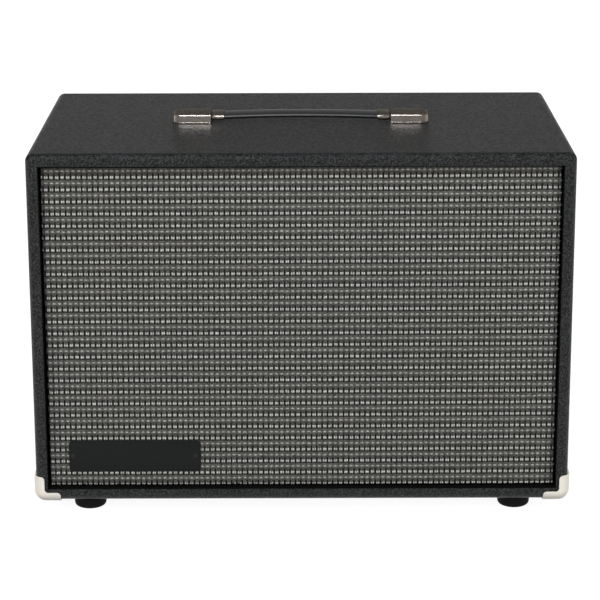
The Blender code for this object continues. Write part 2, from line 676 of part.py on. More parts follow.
def wedge_of(outline, start, sweep, steps=5):
    """Part turn of a closed (radius, height) outline, with flat ends; angles in degrees."""
    sections = []
    for i in range(steps + 1):
        angle = math.radians(start + sweep * i / steps)
        sections.append([(r * math.cos(angle), r * math.sin(angle), z) for r, z in outline])
    return loft(sections)


def make_cone(driver):
    """Paper cone with its dust cap, on the voice coil's former."""
    edge_height = FIT_GAP + 1 * MM
    neck = COIL_RADIUS + COIL_WALL + 2 * FIT_GAP
    steps = 4
    front, back = [], []
    for i in range(steps + 1):
        t = i / steps
        radius = CONE_RADIUS + (neck - CONE_RADIUS) * t
        height = edge_height - CONE_DEPTH * (t + 0.12 * math.sin(math.pi * t))
        front.append((radius, height + CONE_THICKNESS))
        back.append((radius, height))
    place(to_object(turned(front + back[::-1]), "driver_cone"), driver, "paper")

    cap_radius = COIL_RADIUS + DUST_CAP_LAP
    along = (CONE_RADIUS - cap_radius) / (CONE_RADIUS - neck)
    cone_fall = CONE_DEPTH * (along + 0.12 * math.sin(math.pi * along))
    seat = edge_height - cone_fall + CONE_THICKNESS + 2 * FIT_GAP
    dome = [(cap_radius * math.cos(a), seat + 2 * FIT_GAP + DUST_CAP_RISE * math.sin(a))
            for a in (math.radians(v) for v in (0, 22.5, 45, 67.5, 90))]
    dome[-1] = (0, dome[-1][1])
    hollow = [(r * (1 - CONE_THICKNESS / cap_radius), z - CONE_THICKNESS) for r, z in dome[::-1]]
    place(to_object(turned(hollow + dome, SMALL_STEPS, closed=False), "dust_cap"), driver, "paper")

    top = edge_height - CONE_DEPTH + 4 * MM
    coil = [(COIL_RADIUS, top - COIL_LENGTH), (COIL_RADIUS + COIL_WALL, top - COIL_LENGTH),
            (COIL_RADIUS + COIL_WALL, top), (COIL_RADIUS, top)]
    place(to_object(turned(coil), "voice_coil"), driver, "steel")


def make_suspension(driver):
    """Half-roll surround and corrugated spider, both glued in real life and a hair apart here."""
    height = FIT_GAP + 2 * MM + 2 * FIT_GAP
    inner = CONE_RADIUS + FIT_GAP
    outer = CONE_RADIUS + SURROUND_WIDTH - 2 * FIT_GAP
    centre, roll = (inner + outer) / 2, (outer - inner) / 2 - 2 * MM
    wall = 0.8 * MM
    top = [(inner, height)]
    top += [(centre + roll * math.cos(a), height + SURROUND_RISE * math.sin(a))
            for a in (math.radians(v) for v in (180, 135, 90, 45, 0))]
    top += [(outer, height)]
    under = [(r, z - wall) for r, z in top[::-1]]
    place(to_object(turned(top + under), "driver_surround"), driver, "rubber")

    first = COIL_RADIUS + COIL_WALL + FIT_GAP
    waves = 4
    steps = waves * 2
    crest = 1.6 * MM
    top = []
    for i in range(steps + 1):
        radius = first + (SPIDER_RADIUS - first) * i / steps
        lift = crest * (-1) ** i
        top.append((radius, -SPIDER_DEPTH + crest + 1 * MM + lift))
    under = [(r, z - wall) for r, z in top[::-1]]
    place(to_object(turned(top + under), "driver_spider"), driver, "treated_cloth")


def make_motor(driver):
    """Top plate, ferrite ring and back plate with its vented pole."""
    gap_radius = COIL_RADIUS + COIL_WALL + COIL_CLEARANCE
    pole = COIL_RADIUS - COIL_CLEARANCE
    top = -MOTOR_DEPTH
    plate = [(gap_radius, top), (TOP_PLATE_RADIUS, top), (TOP_PLATE_RADIUS, top - TOP_PLATE),
             (gap_radius, top - TOP_PLATE)]
    place(to_object(turned(plate), "top_plate"), driver, "steel")
    magnet_top = top - TOP_PLATE - FIT_GAP
    bore = COIL_RADIUS + 10 * MM
    edge = 2 * MM
    magnet = [(bore, magnet_top), (MAGNET_RADIUS - edge, magnet_top), (MAGNET_RADIUS, magnet_top - edge),
              (MAGNET_RADIUS, magnet_top - MAGNET + edge), (MAGNET_RADIUS - edge, magnet_top - MAGNET),
              (bore, magnet_top - MAGNET)]
    place(to_object(turned(magnet), "magnet"), driver, "ferrite")
    back_top = magnet_top - MAGNET - FIT_GAP
    vent = 11 * MM
    back = [(vent, top), (pole, top), (pole, back_top), (TOP_PLATE_RADIUS, back_top),
            (TOP_PLATE_RADIUS, back_top - TOP_PLATE + edge), (TOP_PLATE_RADIUS - edge, back_top - TOP_PLATE),
            (vent + 6 * MM, back_top - TOP_PLATE), (vent, back_top - TOP_PLATE + 6 * MM)]
    place(to_object(turned(back), "back_plate_and_pole"), driver, "steel")


def make_driver(front):
    """12 inch bass driver, bolted to the front of the baffle."""
    driver = empty("driver_axis", (0, 0, BAFFLE_FRONT), parent=front)
    make_basket(driver)
    make_cone(driver)
    make_suspension(driver)
    make_motor(driver)

    flange = 2 * FIT_GAP + FLANGE_THICKNESS
    tail = -BAFFLE - 5 * MM
    bolt = [(0, tail), (DRIVER_BOLT_RADIUS, tail), (DRIVER_BOLT_RADIUS, flange), (4.4 * MM, flange),
            (4.4 * MM, flange + 2 * MM), (3 * MM, flange + 3 * MM), (0, flange + 3 * MM)]
    for i, location in enumerate(driver_bolt_places(), 1):
        turned_bolt = to_object(turned(bolt, SCREW_STEPS, closed=False), f"driver_bolt_{i}")
        place(turned_bolt, driver, "zinc", location)

    across, deep, high = 14 * MM, 4 * MM, 22 * MM
    outside = terminal_face() - deep
    strip = box((-across, outside, -SPIDER_DEPTH - BASKET_WALL + FIT_GAP + 1 * MM - high),
                (across, outside + deep, -SPIDER_DEPTH - BASKET_WALL - 2 * MM))
    round_edges(strip, strip.edges, 0.8 * MM, 2)
    place(to_object(strip, "terminal_strip"), driver, "black_plastic")
    return driver


def terminal_face():
    """Height of the terminal strip's outer face above the driver's axis."""
    return SPIDER_RADIUS + 6 * MM


def make_ports(front):
    """Flanged port tubes that carry the air through the baffle."""
    outer = PORT_RADIUS + PORT_WALL
    face = FIT_GAP + PORT_FLANGE_THICKNESS
    flare = arc((PORT_RADIUS + PORT_FLANGE_THICKNESS, FIT_GAP), PORT_FLANGE_THICKNESS, 180, 90, 3)
    outline = [(PORT_RADIUS, -PORT_LENGTH), (outer, -PORT_LENGTH), (outer, FIT_GAP),
               (outer + PORT_FLANGE, FIT_GAP), (outer + PORT_FLANGE, face - 1 * MM),
               (outer + PORT_FLANGE - 1 * MM, face), *flare[::-1]]
    for hand, side in (("left", -1), ("right", 1)):
        port = to_object(turned(outline, SMALL_STEPS), f"port_tube_{hand}")
        place(port, front, "black_plastic", (side * PORT_OUT, -PORT_DOWN, BAFFLE_FRONT))


def make_jack_dish(back):
    """Recessed dish with two jack sockets through its floor."""
    dish_axis = empty("jack_dish_axis", (0, 0, -BACK_RECESS), parent=back)
    half_x, half_y = DISH_WIDTH / 2, DISH_HEIGHT / 2
    rim = DISH_WALL + DISH_FLANGE
    low = FIT_GAP
    dish = to_object(prism(rounded_outline(half_x + rim, half_y + rim, DISH_CORNER), low, low + 1.6 * MM),
                     "jack_dish")
    floor = -DISH_DEPTH
    shell = rounded_outline(half_x + DISH_WALL, half_y + DISH_WALL, DISH_CORNER + DISH_WALL)
    join(dish, prism(shell, floor - DISH_WALL, low + 1 * MM))
    draft = 1.5 * MM
    hollow = [(floor, draft), (low + 4 * MM, -draft * 0.15)]
    cut(dish, loft([[(x, y, z) for x, y in rounded_outline(half_x - d, half_y - d, DISH_CORNER - d)]
                    for z, d in hollow]))
    jack_x = [side * JACK_SPACING / 2 for side in (-1, 1)]
    cut(dish, copies(rod(JACK_BUSH_RADIUS + FIT_GAP, floor - 2 * DISH_WALL, floor + DISH_WALL, SMALL_STEPS),
                     [(x, 0, 0) for x in jack_x]))
    place(dish, dish_axis, "black_plastic")

    body_top = floor - DISH_WALL - FIT_GAP
    bush_top = floor + 6 * MM
    socket = [(JACK_BORE_RADIUS, bush_top), (JACK_BUSH_RADIUS, bush_top), (JACK_BUSH_RADIUS, body_top),
              (JACK_BODY_RADIUS, body_top), (JACK_BODY_RADIUS, body_top - JACK_BODY_LENGTH),
              (0, body_top - JACK_BODY_LENGTH), (0, body_top - JACK_BODY_LENGTH + 2 * MM),
              (JACK_BORE_RADIUS, body_top - JACK_BODY_LENGTH + 2 * MM)]
    for hand, x in zip(("left", "right"), jack_x):
        jack = to_object(turned(socket[5:] + socket[:6], SMALL_STEPS, closed=False), f"jack_socket_{hand}")
        place(jack, dish_axis, "zinc", (x, 0, 0))


def make_speaker_lead(cabinet):
    """Two-core lead held between the jack sockets' back and the driver's terminal strip."""
    jack_y = HALF_BOX.y - BACK_RECESS - DISH_DEPTH - DISH_WALL - 2 * FIT_GAP - JACK_BODY_LENGTH
    strip_depth = SPIDER_DEPTH + BASKET_WALL + 12 * MM
    strip_y = -HALF_BOX.y - BAFFLE_FRONT + strip_depth
    start = Vector((JACK_SPACING / 2, jack_y - FIT_GAP, 0))
    end = Vector((0, strip_y, terminal_face() + FIT_GAP))
    mid = Vector((34 * MM, (jack_y + strip_y) / 2 + 10 * MM, 70 * MM))
    stub = 4 * LEAD_RADIUS
    leave, arrive = start - Vector((0, stub, 0)), end + Vector((0, 0, stub))
    route = [leave, leave - Vector((0, 2 * stub, 0)), mid, arrive + Vector((0, 0, 2 * stub)), arrive]
    curve = bpy.data.curves.new("speaker_lead", "CURVE")
    curve.dimensions = "3D"
    curve.bevel_depth = LEAD_RADIUS
    curve.bevel_resolution = 2
    curve.use_fill_caps = True
    steps = 18
    points = [start, *(bezier_point(route, i / steps) for i in range(steps + 1)), end]
    line = curve.splines.new("POLY")
    line.points.add(len(points) - 1)
    for point, location in zip(line.points, points):
        point.co = (*location, 1)
    lead = bpy.data.objects.new("speaker_lead", curve)
    bpy.context.scene.collection.objects.link(lead)
    lead.parent = cabinet
    material = bpy.data.materials.new("speaker_lead")
    material.use_nodes = True
    material.node_tree.nodes["Principled BSDF"].inputs["Base Color"].default_value = srgb("1d1d1d")
    curve.materials.append(material)


def bezier_point(points, t):
    """Point at t on the Bezier curve with these control points."""
    points = list(points)
    while len(points) > 1:
        points = [a.lerp(b, t) for a, b in zip(points, points[1:])]
    return points[0]


def main():
    for obj in list(bpy.data.objects):
        bpy.data.objects.remove(obj)
    cabinet = empty("cabinet", (0, 0, FLOOR_TO_CENTRE))
    front = empty("front_face", (0, -HALF_BOX.y, 0), (90, 0, 0), cabinet)
    back = empty("back_face", (0, HALF_BOX.y, 0), (90, 0, 180), cabinet)
    make_boards(cabinet)
    make_covering(cabinet)
    make_battens(front, "front", BAFFLE_BACK - FIT_GAP)
    make_battens(back, "rear", BACK_BATTEN_TOP)
    make_baffle(front)
    make_back_panel(back)
    make_grille(front)
    make_name_plate(front)
    make_corners(cabinet)
    make_feet(cabinet)
    make_handle(cabinet)
    make_driver(front)
    make_ports(front)
    make_jack_dish(back)
    make_speaker_lead(cabinet)


main()
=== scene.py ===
"""Dressed bass speaker cabinet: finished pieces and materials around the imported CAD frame."""

import math

import bmesh
import bpy
import numpy as np
from mathutils import Matrix, Vector


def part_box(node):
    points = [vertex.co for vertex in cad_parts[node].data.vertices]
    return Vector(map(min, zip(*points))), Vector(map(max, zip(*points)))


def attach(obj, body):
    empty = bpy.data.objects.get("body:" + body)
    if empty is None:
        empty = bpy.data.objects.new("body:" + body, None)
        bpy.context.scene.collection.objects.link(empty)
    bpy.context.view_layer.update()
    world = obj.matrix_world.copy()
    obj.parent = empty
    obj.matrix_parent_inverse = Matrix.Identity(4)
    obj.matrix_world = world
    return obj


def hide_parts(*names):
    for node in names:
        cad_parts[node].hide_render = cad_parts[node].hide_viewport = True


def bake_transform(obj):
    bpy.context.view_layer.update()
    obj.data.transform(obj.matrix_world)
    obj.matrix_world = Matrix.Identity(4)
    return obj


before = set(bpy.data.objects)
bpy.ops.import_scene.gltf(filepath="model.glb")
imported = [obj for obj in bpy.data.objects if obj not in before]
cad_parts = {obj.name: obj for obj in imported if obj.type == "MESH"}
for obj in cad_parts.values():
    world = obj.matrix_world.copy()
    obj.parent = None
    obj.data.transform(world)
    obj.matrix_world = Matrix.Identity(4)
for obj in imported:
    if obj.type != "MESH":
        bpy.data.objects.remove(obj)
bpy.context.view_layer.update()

MM = 0.001
SMOOTH_ANGLE = math.radians(35)


def node_corners(name):
    """Lowest and highest x, y and z of a CAD node, to 0.01 mm, as its mesh is single precision."""
    return [[round(value, 5) for value in corner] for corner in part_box(name)]


# Cabinet box in the row frame, without its feet
(_, _, BOX_BOTTOM), (HALF_WIDTH, HALF_DEPTH, BOX_TOP) = node_corners("vinyl_covering")
MIDDLE = (BOX_BOTTOM + BOX_TOP) / 2
EDGE_RADIUS = 8 * MM
_, (panel_edge, PANEL_FACE, _) = node_corners("back_panel")
WALL = HALF_WIDTH - panel_edge

# Grille cloth
(_, CLOTH_FRONT, cloth_bottom), (CLOTH_X, CLOTH_BACK, cloth_top) = node_corners("grille_cloth")
CLOTH_Z = (cloth_top - cloth_bottom) / 2
CLOTH_EDGE = 2 * MM
CLOTH_FOLD = 12 * MM

# Weave: its pitches, and the places of one column's middle and one bright row
COLUMN_PITCH = 5.72 * MM
ROW_PITCH = 13.02 * MM
COLUMN_START = -3.6 * MM
ROW_START = 200.2 * MM
COLUMNS_EACH_WAY = 50
ROWS_EACH_WAY = 16
# Uneven stretch of the weave: shift in metres per x, z, x*z, x*x and z*z, with z from the middle
STRETCH_ACROSS = (-0.00435, 0.00356, -0.0171, -0.0037, 0.0054)
STRETCH_UP = (0.00245, 0.0001, 0.00185, 0.0039, -0.0007)

# Strap handle, with the right cap and sleeve
(_, grip_front, _), (GRIP_HALF, grip_back, _) = node_corners("strap_grip")
HANDLE_Y = (grip_front + grip_back) / 2
STRAP_WIDTH = grip_back - grip_front
(CAP_MOUTH, cap_front, _), (CAP_END, cap_back, _) = node_corners("handle_cap_right")
CAP_DEPTH = cap_back - cap_front
CAP_CORNER = 10 * MM
(SLEEVE_INNER, _, _), _ = node_corners("strap_fitting_right")
SLEEVE_LENGTH = 13 * MM
BOSS_X = 114 * MM
BOSS_RADIUS = 4.2 * MM
END_TRAVEL = 4.5 * MM

# Corner protectors
SHELL_GAP = 0.3 * MM
SHELL_WALL = 1.8 * MM
SCREW_SEAT = 1.2 * MM

# Jack dish in the back panel, seen from behind
JACK_X = 20 * MM
DISH_HALF_WIDTH = 46 * MM
DISH_HALF_HEIGHT = 29 * MM
DISH_CORNER = 8 * MM


def linear(code):
    """Linear colour of a six-digit sRGB code."""
    values = [int(code[i:i + 2], 16) / 255 for i in (0, 2, 4)]
    return [v / 12.92 if v < 0.04045 else ((v + 0.055) / 1.055) ** 2.4 for v in values] + [1.0]


def add(tree, kind, inputs=None, **settings):
    """One node with its settings; an input takes a value, a socket or another node's first output."""
    node = tree.nodes.new(kind)
    for name, value in settings.items():
        setattr(node, name, value)
    for name, value in (inputs or {}).items():
        if isinstance(value, bpy.types.Node):
            value = value.outputs[0]
        if isinstance(value, bpy.types.NodeSocket):
            tree.links.new(value, node.inputs[name])
        else:
            node.inputs[name].default_value = value
    return node


def start_finish(name, code, roughness, metallic=0.0, shine=0.5):
    material = bpy.data.materials.new(name)
    material.use_nodes = True
    tree = material.node_tree
    shader = tree.nodes["Principled BSDF"]
    shader.inputs["Base Color"].default_value = linear(code)
    shader.inputs["Roughness"].default_value = roughness
    shader.inputs["Metallic"].default_value = metallic
    shader.inputs["Specular IOR Level"].default_value = shine
    return material, tree, shader


def embossed_vinyl():
    """PVC-coated cloth, embossed with a leather grain: black and half glossy, so its pebbles glint.

    The grain is drawn coarser than the real 1 mm, so that it shows, and its patches are longer from
    front to back, as the roll was stretched round the box. Its colour is mottled: the lighter flecks on
    the raised grain and patches are painted glints and sheen over a random tone, and the darker hollows
    between pebbles are painted shade.
    """
    material, tree, shader = start_finish("embossed_vinyl", "1b1c1c", 0.38, shine=0.22)
    place = add(tree, "ShaderNodeTexCoord").outputs["Object"]
    pebbles = add(tree, "ShaderNodeTexVoronoi", {"Vector": place, "Scale": 1 / (1.9 * MM), "Smoothness": 0.2},
                  feature="SMOOTH_F1")
    creases = add(tree, "ShaderNodeTexNoise", {"Vector": place, "Scale": 1 / (1.5 * MM), "Detail": 2.0,
                                               "Roughness": 0.6})
    drawn = add(tree, "ShaderNodeMapping", {"Vector": place, "Scale": (1, 0.55, 1)})
    patches = add(tree, "ShaderNodeTexNoise", {"Vector": drawn, "Scale": 1 / (3.6 * MM), "Detail": 3.0,
                                               "Roughness": 0.6})
    # Colour follows the grain: darker in the hollows between pebbles, a painted shade, and lighter on the
    # raised grain and patches, painted glints and sheen over a random tone; the same grain makes the bump
    hollows = add(tree, "ShaderNodeMath", {0: pebbles, 1: -0.9}, operation="MULTIPLY")
    grain = add(tree, "ShaderNodeMath", {0: creases, 1: 2.4, 2: hollows}, operation="MULTIPLY_ADD")
    level = add(tree, "ShaderNodeMath", {0: patches, 1: 0.7, 2: -1.2}, operation="MULTIPLY_ADD")
    level = add(tree, "ShaderNodeMath", {0: grain, 1: 1.5, 2: level}, operation="MULTIPLY_ADD",
                use_clamp=True)
    colour = add(tree, "ShaderNodeMix", {0: level, 6: linear("060707"), 7: linear("3a3b3b")},
                 data_type="RGBA")
    tree.links.new(colour.outputs[2], shader.inputs["Base Color"])
    worn = add(tree, "ShaderNodeMapRange", {"Value": patches, "From Min": 0.3, "From Max": 0.7,
                                            "To Min": 0.3, "To Max": 0.46})
    tree.links.new(worn.outputs["Result"], shader.inputs["Roughness"])
    height = add(tree, "ShaderNodeMath", {0: patches, 1: 3.0, 2: grain}, operation="MULTIPLY_ADD")
    bump = add(tree, "ShaderNodeBump", {"Height": height, "Distance": 0.3 * MM, "Strength": 0.9})
    tree.links.new(bump.outputs["Normal"], shader.inputs["Normal"])
    return material


def plain_finish(name, code, roughness, metallic=0.0, grain=0.0, depth=0.0, shine=0.5, strength=0.6,
                 detail=3.0):
    """One colour, with a fine moulded or cast grain where grain is its size.

    A grain that is really finer than about 0.5 mm is drawn coarser, so that it shows.
    """
    material, tree, shader = start_finish(name, code, roughness, metallic, shine)
    if grain:
        place = add(tree, "ShaderNodeTexCoord").outputs["Object"]
        fine = add(tree, "ShaderNodeTexNoise", {"Vector": place, "Scale": 1 / grain, "Detail": detail})
        bump = add(tree, "ShaderNodeBump", {"Height": fine, "Distance": depth, "Strength": strength})
        tree.links.new(bump.outputs["Normal"], shader.inputs["Normal"])
    return material


def nickel_plate():
    """Nickel-plated pressed steel: mirror-like, a little worn, and dark where it mirrors the room."""
    material, tree, shader = start_finish("nickel_plated_steel", "cabfb4", 0.2, 1.0)
    shader.inputs["Specular Tint"].default_value = linear("a09c96")
    place = add(tree, "ShaderNodeTexCoord").outputs["Object"]
    wear = add(tree, "ShaderNodeTexNoise", {"Vector": place, "Scale": 1 / (9 * MM), "Detail": 4.0})
    rough = add(tree, "ShaderNodeMapRange", {"Value": wear, "To Min": 0.2, "To Max": 0.32})
    tree.links.new(rough.outputs["Result"], shader.inputs["Roughness"])
    return material


def plywood():
    """Birch plywood: pale yellow-brown, with fine grain lines ten times as long as they are far apart."""
    material, tree, shader = start_finish("birch_plywood", "b9946a", 0.65)
    place = add(tree, "ShaderNodeTexCoord").outputs["Object"]
    drawn = add(tree, "ShaderNodeMapping", {"Vector": place, "Scale": (0.1, 1, 1)})
    grain = add(tree, "ShaderNodeTexNoise", {"Vector": drawn, "Scale": 1 / (2.78 * MM), "Detail": 5.0})
    colour = add(tree, "ShaderNodeMix", {0: grain, 6: linear("a27d52"), 7: linear("cfae84")},
                 data_type="RGBA")
    tree.links.new(colour.outputs[2], shader.inputs["Base Color"])
    return material


def stretch_node(tree, x, z, factors):
    """Same sum as stretch(), as shader nodes."""
    products = [x, z] + [add(tree, "ShaderNodeMath", {0: first, 1: second}, operation="MULTIPLY")
                         for first, second in ((x, z), (x, x), (z, z))]
    total = 0.0
    for product, factor in zip(products, factors):
        total = add(tree, "ShaderNodeMath", {0: product, 1: factor, 2: total}, operation="MULTIPLY_ADD")
    return total


def weave_places(tree):
    """Share of the pitch across from the nearest column's middle, and up from the bright row below."""
    place = add(tree, "ShaderNodeTexCoord").outputs["Object"]
    parts = add(tree, "ShaderNodeSeparateXYZ", {"Vector": place})
    x = parts.outputs["X"]
    z = add(tree, "ShaderNodeMath", {0: parts.outputs["Z"], 1: MIDDLE}, operation="SUBTRACT")
    shares = []
    # Columns count from half a pitch before their middle, rows from their bright line
    for along, factors, start, pitch, before in ((x, STRETCH_ACROSS, COLUMN_START, COLUMN_PITCH, 0.5),
                                                 (z, STRETCH_UP, ROW_START - MIDDLE, ROW_PITCH, 0.0)):
        shift = stretch_node(tree, x, z, factors)
        share = add(tree, "ShaderNodeMath", {0: along, 1: shift}, operation="SUBTRACT")
        share = add(tree, "ShaderNodeMath", {0: share, 1: start}, operation="SUBTRACT")
        share = add(tree, "ShaderNodeMath", {0: share, 1: pitch}, operation="DIVIDE")
        share = add(tree, "ShaderNodeMath", {0: share, 1: before}, operation="ADD")
        shares.append(add(tree, "ShaderNodeMath", {0: share}, operation="FRACT"))
    across, up = shares
    across = add(tree, "ShaderNodeMath", {0: across, 1: 0.5}, operation="SUBTRACT")
    return add(tree, "ShaderNodeMath", {0: across}, operation="ABSOLUTE"), up


def band(tree, value, middle, half, soft, level=1.0):
    """The level within half of middle, falling to 0 over soft."""
    off = add(tree, "ShaderNodeMath", {0: value, 1: middle}, operation="SUBTRACT")
    off = add(tree, "ShaderNodeMath", {0: off}, operation="ABSOLUTE")
    return add(tree, "ShaderNodeMapRange", {"Value": off, "From Min": half, "From Max": half + soft,
                                            "To Min": level, "To Max": 0.0},
               interpolation_type="SMOOTHSTEP")


def woven_cloth():
    """Grille cloth of twisted plastic-coated yarn: grey ground with black gaps beside the bright floats.

    The twist of the yarns is really about 0.6 mm and is drawn coarser, so that it shows.
    """
    material, tree, shader = start_finish("woven_grille_cloth", "4c4b48", 0.7, shine=0.15)
    across, up = weave_places(tree)
    mm_up = MM / ROW_PITCH
    beside = band(tree, across, 0.5, 0.11, 0.07)
    above = band(tree, up, 1.3 * mm_up, 2.6 * mm_up, 1.2 * mm_up)
    below = band(tree, up, 1 - 0.6 * mm_up, 1.2 * mm_up, 0.8 * mm_up)
    dark = add(tree, "ShaderNodeMath", {0: above, 1: below}, operation="MAXIMUM")
    dark = add(tree, "ShaderNodeMath", {0: beside, 1: dark}, operation="MULTIPLY")
    line = band(tree, up, 1 - 2.5 * mm_up, 0.35 * mm_up, 0.6 * mm_up, 0.75)
    seams = band(tree, across, 0.5, 0.03, 0.09, 0.4)
    shade = band(tree, up, 3.2 * mm_up, 1.2 * mm_up, 1.2 * mm_up, 0.3)
    for other in (line, seams, shade):
        dark = add(tree, "ShaderNodeMath", {0: dark, 1: other}, operation="MAXIMUM")
    place = add(tree, "ShaderNodeTexCoord").outputs["Object"]
    threads = add(tree, "ShaderNodeTexNoise", {"Vector": place, "Scale": 1 / (1.8 * MM), "Detail": 3.0,
                                               "Roughness": 0.8})
    weft = band(tree, up, 1 - 6.2 * mm_up, 0.3 * mm_up, 0.7 * mm_up, 0.35)
    level = add(tree, "ShaderNodeMath", {0: threads, 1: 3.0, 2: -1.0}, operation="MULTIPLY_ADD")
    level = add(tree, "ShaderNodeMath", {0: level, 1: weft}, operation="ADD", use_clamp=True)
    ground = add(tree, "ShaderNodeMix", {0: level, 6: linear("2a2927"), 7: linear("6c6b67")},
                 data_type="RGBA")
    colour = add(tree, "ShaderNodeMix", {0: dark, 6: ground.outputs[2], 7: linear("0a0a09")},
                 data_type="RGBA")
    tree.links.new(colour.outputs[2], shader.inputs["Base Color"])
    height = add(tree, "ShaderNodeMath", {0: threads, 1: 0.5}, operation="MULTIPLY")
    height = add(tree, "ShaderNodeMath", {0: height, 1: dark}, operation="SUBTRACT")
    bump = add(tree, "ShaderNodeBump", {"Height": height, "Distance": 0.5 * MM, "Strength": 0.7})
    tree.links.new(bump.outputs["Normal"], shader.inputs["Normal"])
    return material


def float_yarn(name, dull, bright):
    """Plastic-coated silver yarn where it floats over the ground: pale and a little shiny."""
    material, tree, shader = start_finish(name, bright, 0.42, shine=0.3)
    place = add(tree, "ShaderNodeTexCoord").outputs["Object"]
    patches = add(tree, "ShaderNodeTexNoise", {"Vector": place, "Scale": 1 / (4 * MM), "Detail": 2.0})
    level = add(tree, "ShaderNodeMath", {0: patches, 1: 2.4, 2: -0.7}, operation="MULTIPLY_ADD",
                use_clamp=True)
    colour = add(tree, "ShaderNodeMix", {0: level, 6: linear(dull), 7: linear(bright)}, data_type="RGBA")
    tree.links.new(colour.outputs[2], shader.inputs["Base Color"])
    return material


FINISHES = {
    "vinyl": embossed_vinyl(),
    "cloth": woven_cloth(),
    "bright_float": float_yarn("silver_yarn_floats", "93928d", "c5c4bf"),
    "dim_float": float_yarn("grey_yarn_floats", "83827d", "acaba6"),
    # Injection-moulded ABS with a satin face
    "ivory": plain_finish("ivory_moulded_abs", "ece5d9", 0.42, grain=0.9 * MM, depth=0.04 * MM),
    # Moulded rubber: matt, nearly black
    "rubber": plain_finish("moulded_rubber", "161616", 0.7, grain=0.7 * MM, depth=0.08 * MM, shine=0.1),
    # Moulded PVC strap: black, smooth and a little shiny
    "strap": plain_finish("moulded_strap_pvc", "070707", 0.3, grain=0.8 * MM, depth=0.06 * MM, shine=0.4,
                          strength=0.5, detail=2.0),
    "nickel": nickel_plate(),
    # Zinc-plated steel: dull silver
    "zinc": plain_finish("zinc_plated_steel", "a3a29f", 0.32, 1.0),
    # Black-anodised or painted plate: half matt
    "plate": plain_finish("black_satin_plate", "191a1a", 0.4, grain=0.6 * MM, depth=0.02 * MM, shine=0.1),
    # Injection-moulded ABS: black with a fine spark-eroded texture
    "black_plastic": plain_finish("black_moulded_abs", "1d1d1d", 0.5, grain=0.5 * MM, depth=0.05 * MM,
                                  shine=0.25),
    # Dead black and matt: spirit stain on the grille frame and baffle, and painted shade on the covering's
    # wrapped inner edge, to keep the recesses dark
    "stain_and_recess_shade": plain_finish("dead_black_finish_and_recess_shade", "0c0c0c", 0.85, shine=0.05),
    # Water-based black paint rolled on plywood: matt, with the roller's stipple
    "black_paint": plain_finish("rolled_black_paint", "1d1d1c", 0.7, grain=2.2 * MM, depth=0.2 * MM,
                                shine=0.15),
    "plywood": plywood(),
    # Powder-coated pressed steel: black, half glossy and slightly pebbled
    "black_steel": plain_finish("powder_coated_steel", "1c1c1c", 0.45, grain=0.8 * MM, depth=0.05 * MM),
    # Turned mild steel: grey and softly shiny
    "steel": plain_finish("turned_mild_steel", "85868a", 0.35, 1.0),
    # Sintered ferrite: dark grey and ceramic
    "ferrite": plain_finish("sintered_ferrite", "3a3b3d", 0.6),
    # Pressed paper pulp: brownish black and matt, with a felted face
    "paper": plain_finish("pressed_paper_cone", "26241f", 0.85, grain=1.5 * MM, depth=0.2 * MM),
    # Enamelled copper wire: orange-brown and shiny
    "copper": plain_finish("enamelled_copper_wire", "b87333", 0.3, 1.0),
    # Cotton dipped in resin: yellow-brown and matt, with a coarse weave
    "treated_cloth": plain_finish("resin_dipped_cloth", "8a6b33", 0.8, grain=0.8 * MM, depth=0.15 * MM),
    # Butyl rubber roll: black and half matt
    "foam_rubber": plain_finish("butyl_rubber_roll", "1c1c1c", 0.6),
    # Extruded PVC jacket: black and smooth
    "lead_jacket": plain_finish("pvc_lead_jacket", "1a1a1a", 0.45),
}

CAD_FINISHES = {
    "plywood": ("top_board", "bottom_board", "left_board", "right_board", "front_batten_top",
                "front_batten_bottom", "front_batten_left", "front_batten_right", "rear_batten_top",
                "rear_batten_bottom", "rear_batten_left", "rear_batten_right"),
    "black_paint": ("back_panel",),
    "stain_and_recess_shade": ("baffle_board", "grille_frame"),
    "zinc": ("foot_screw_front_left", "foot_screw_front_right", "foot_screw_rear_left",
             "foot_screw_rear_right", "handle_bolt_left", "handle_bolt_right", "driver_bolt_1",
             "driver_bolt_2", "driver_bolt_3", "driver_bolt_4"),
    "black_steel": ("driver_basket",),
    "paper": ("driver_cone", "dust_cap"),
    "copper": ("voice_coil",),
    "foam_rubber": ("driver_surround",),
    "treated_cloth": ("driver_spider",),
    "steel": ("top_plate", "back_plate_and_pole"),
    "ferrite": ("magnet",),
    "black_plastic": ("terminal_strip", "port_tube_left", "port_tube_right"),
    "lead_jacket": ("speaker_lead",),
}

for finish_name, node_names in CAD_FINISHES.items():
    for node_name in node_names:
        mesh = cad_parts[node_name].data
        mesh.materials.clear()
        mesh.materials.append(FINISHES[finish_name])


def closed_mesh(bm, name):
    bmesh.ops.remove_doubles(bm, verts=bm.verts, dist=1e-6)
    bmesh.ops.recalc_face_normals(bm, faces=bm.faces)
    mesh = bpy.data.meshes.new(name)
    bm.to_mesh(mesh)
    bm.free()
    return mesh


def loose(bm, name, painted=()):
    """Object without a finish or body yet; its painted faces take its second material."""
    for face in painted:
        face.material_index = 1
    obj = bpy.data.objects.new(name, closed_mesh(bm, name))
    bpy.context.scene.collection.objects.link(obj)
    return obj


def shape_of(obj):
    """Shape of an object that is no longer needed itself."""
    bm = bmesh.new()
    bm.from_mesh(obj.data)
    bpy.data.objects.remove(obj)
    return bm


def combine(target, tool, operation):
    """Apply one boolean to target and remove the tool."""
    step = target.modifiers.new("combine", "BOOLEAN")
    step.operation = operation
    step.object = tool
    bpy.context.view_layer.update()
    mesh = bpy.data.meshes.new_from_object(target.evaluated_get(bpy.context.evaluated_depsgraph_get()))
    target.modifiers.remove(step)
    target.data = mesh
    bpy.data.objects.remove(tool)
    return target


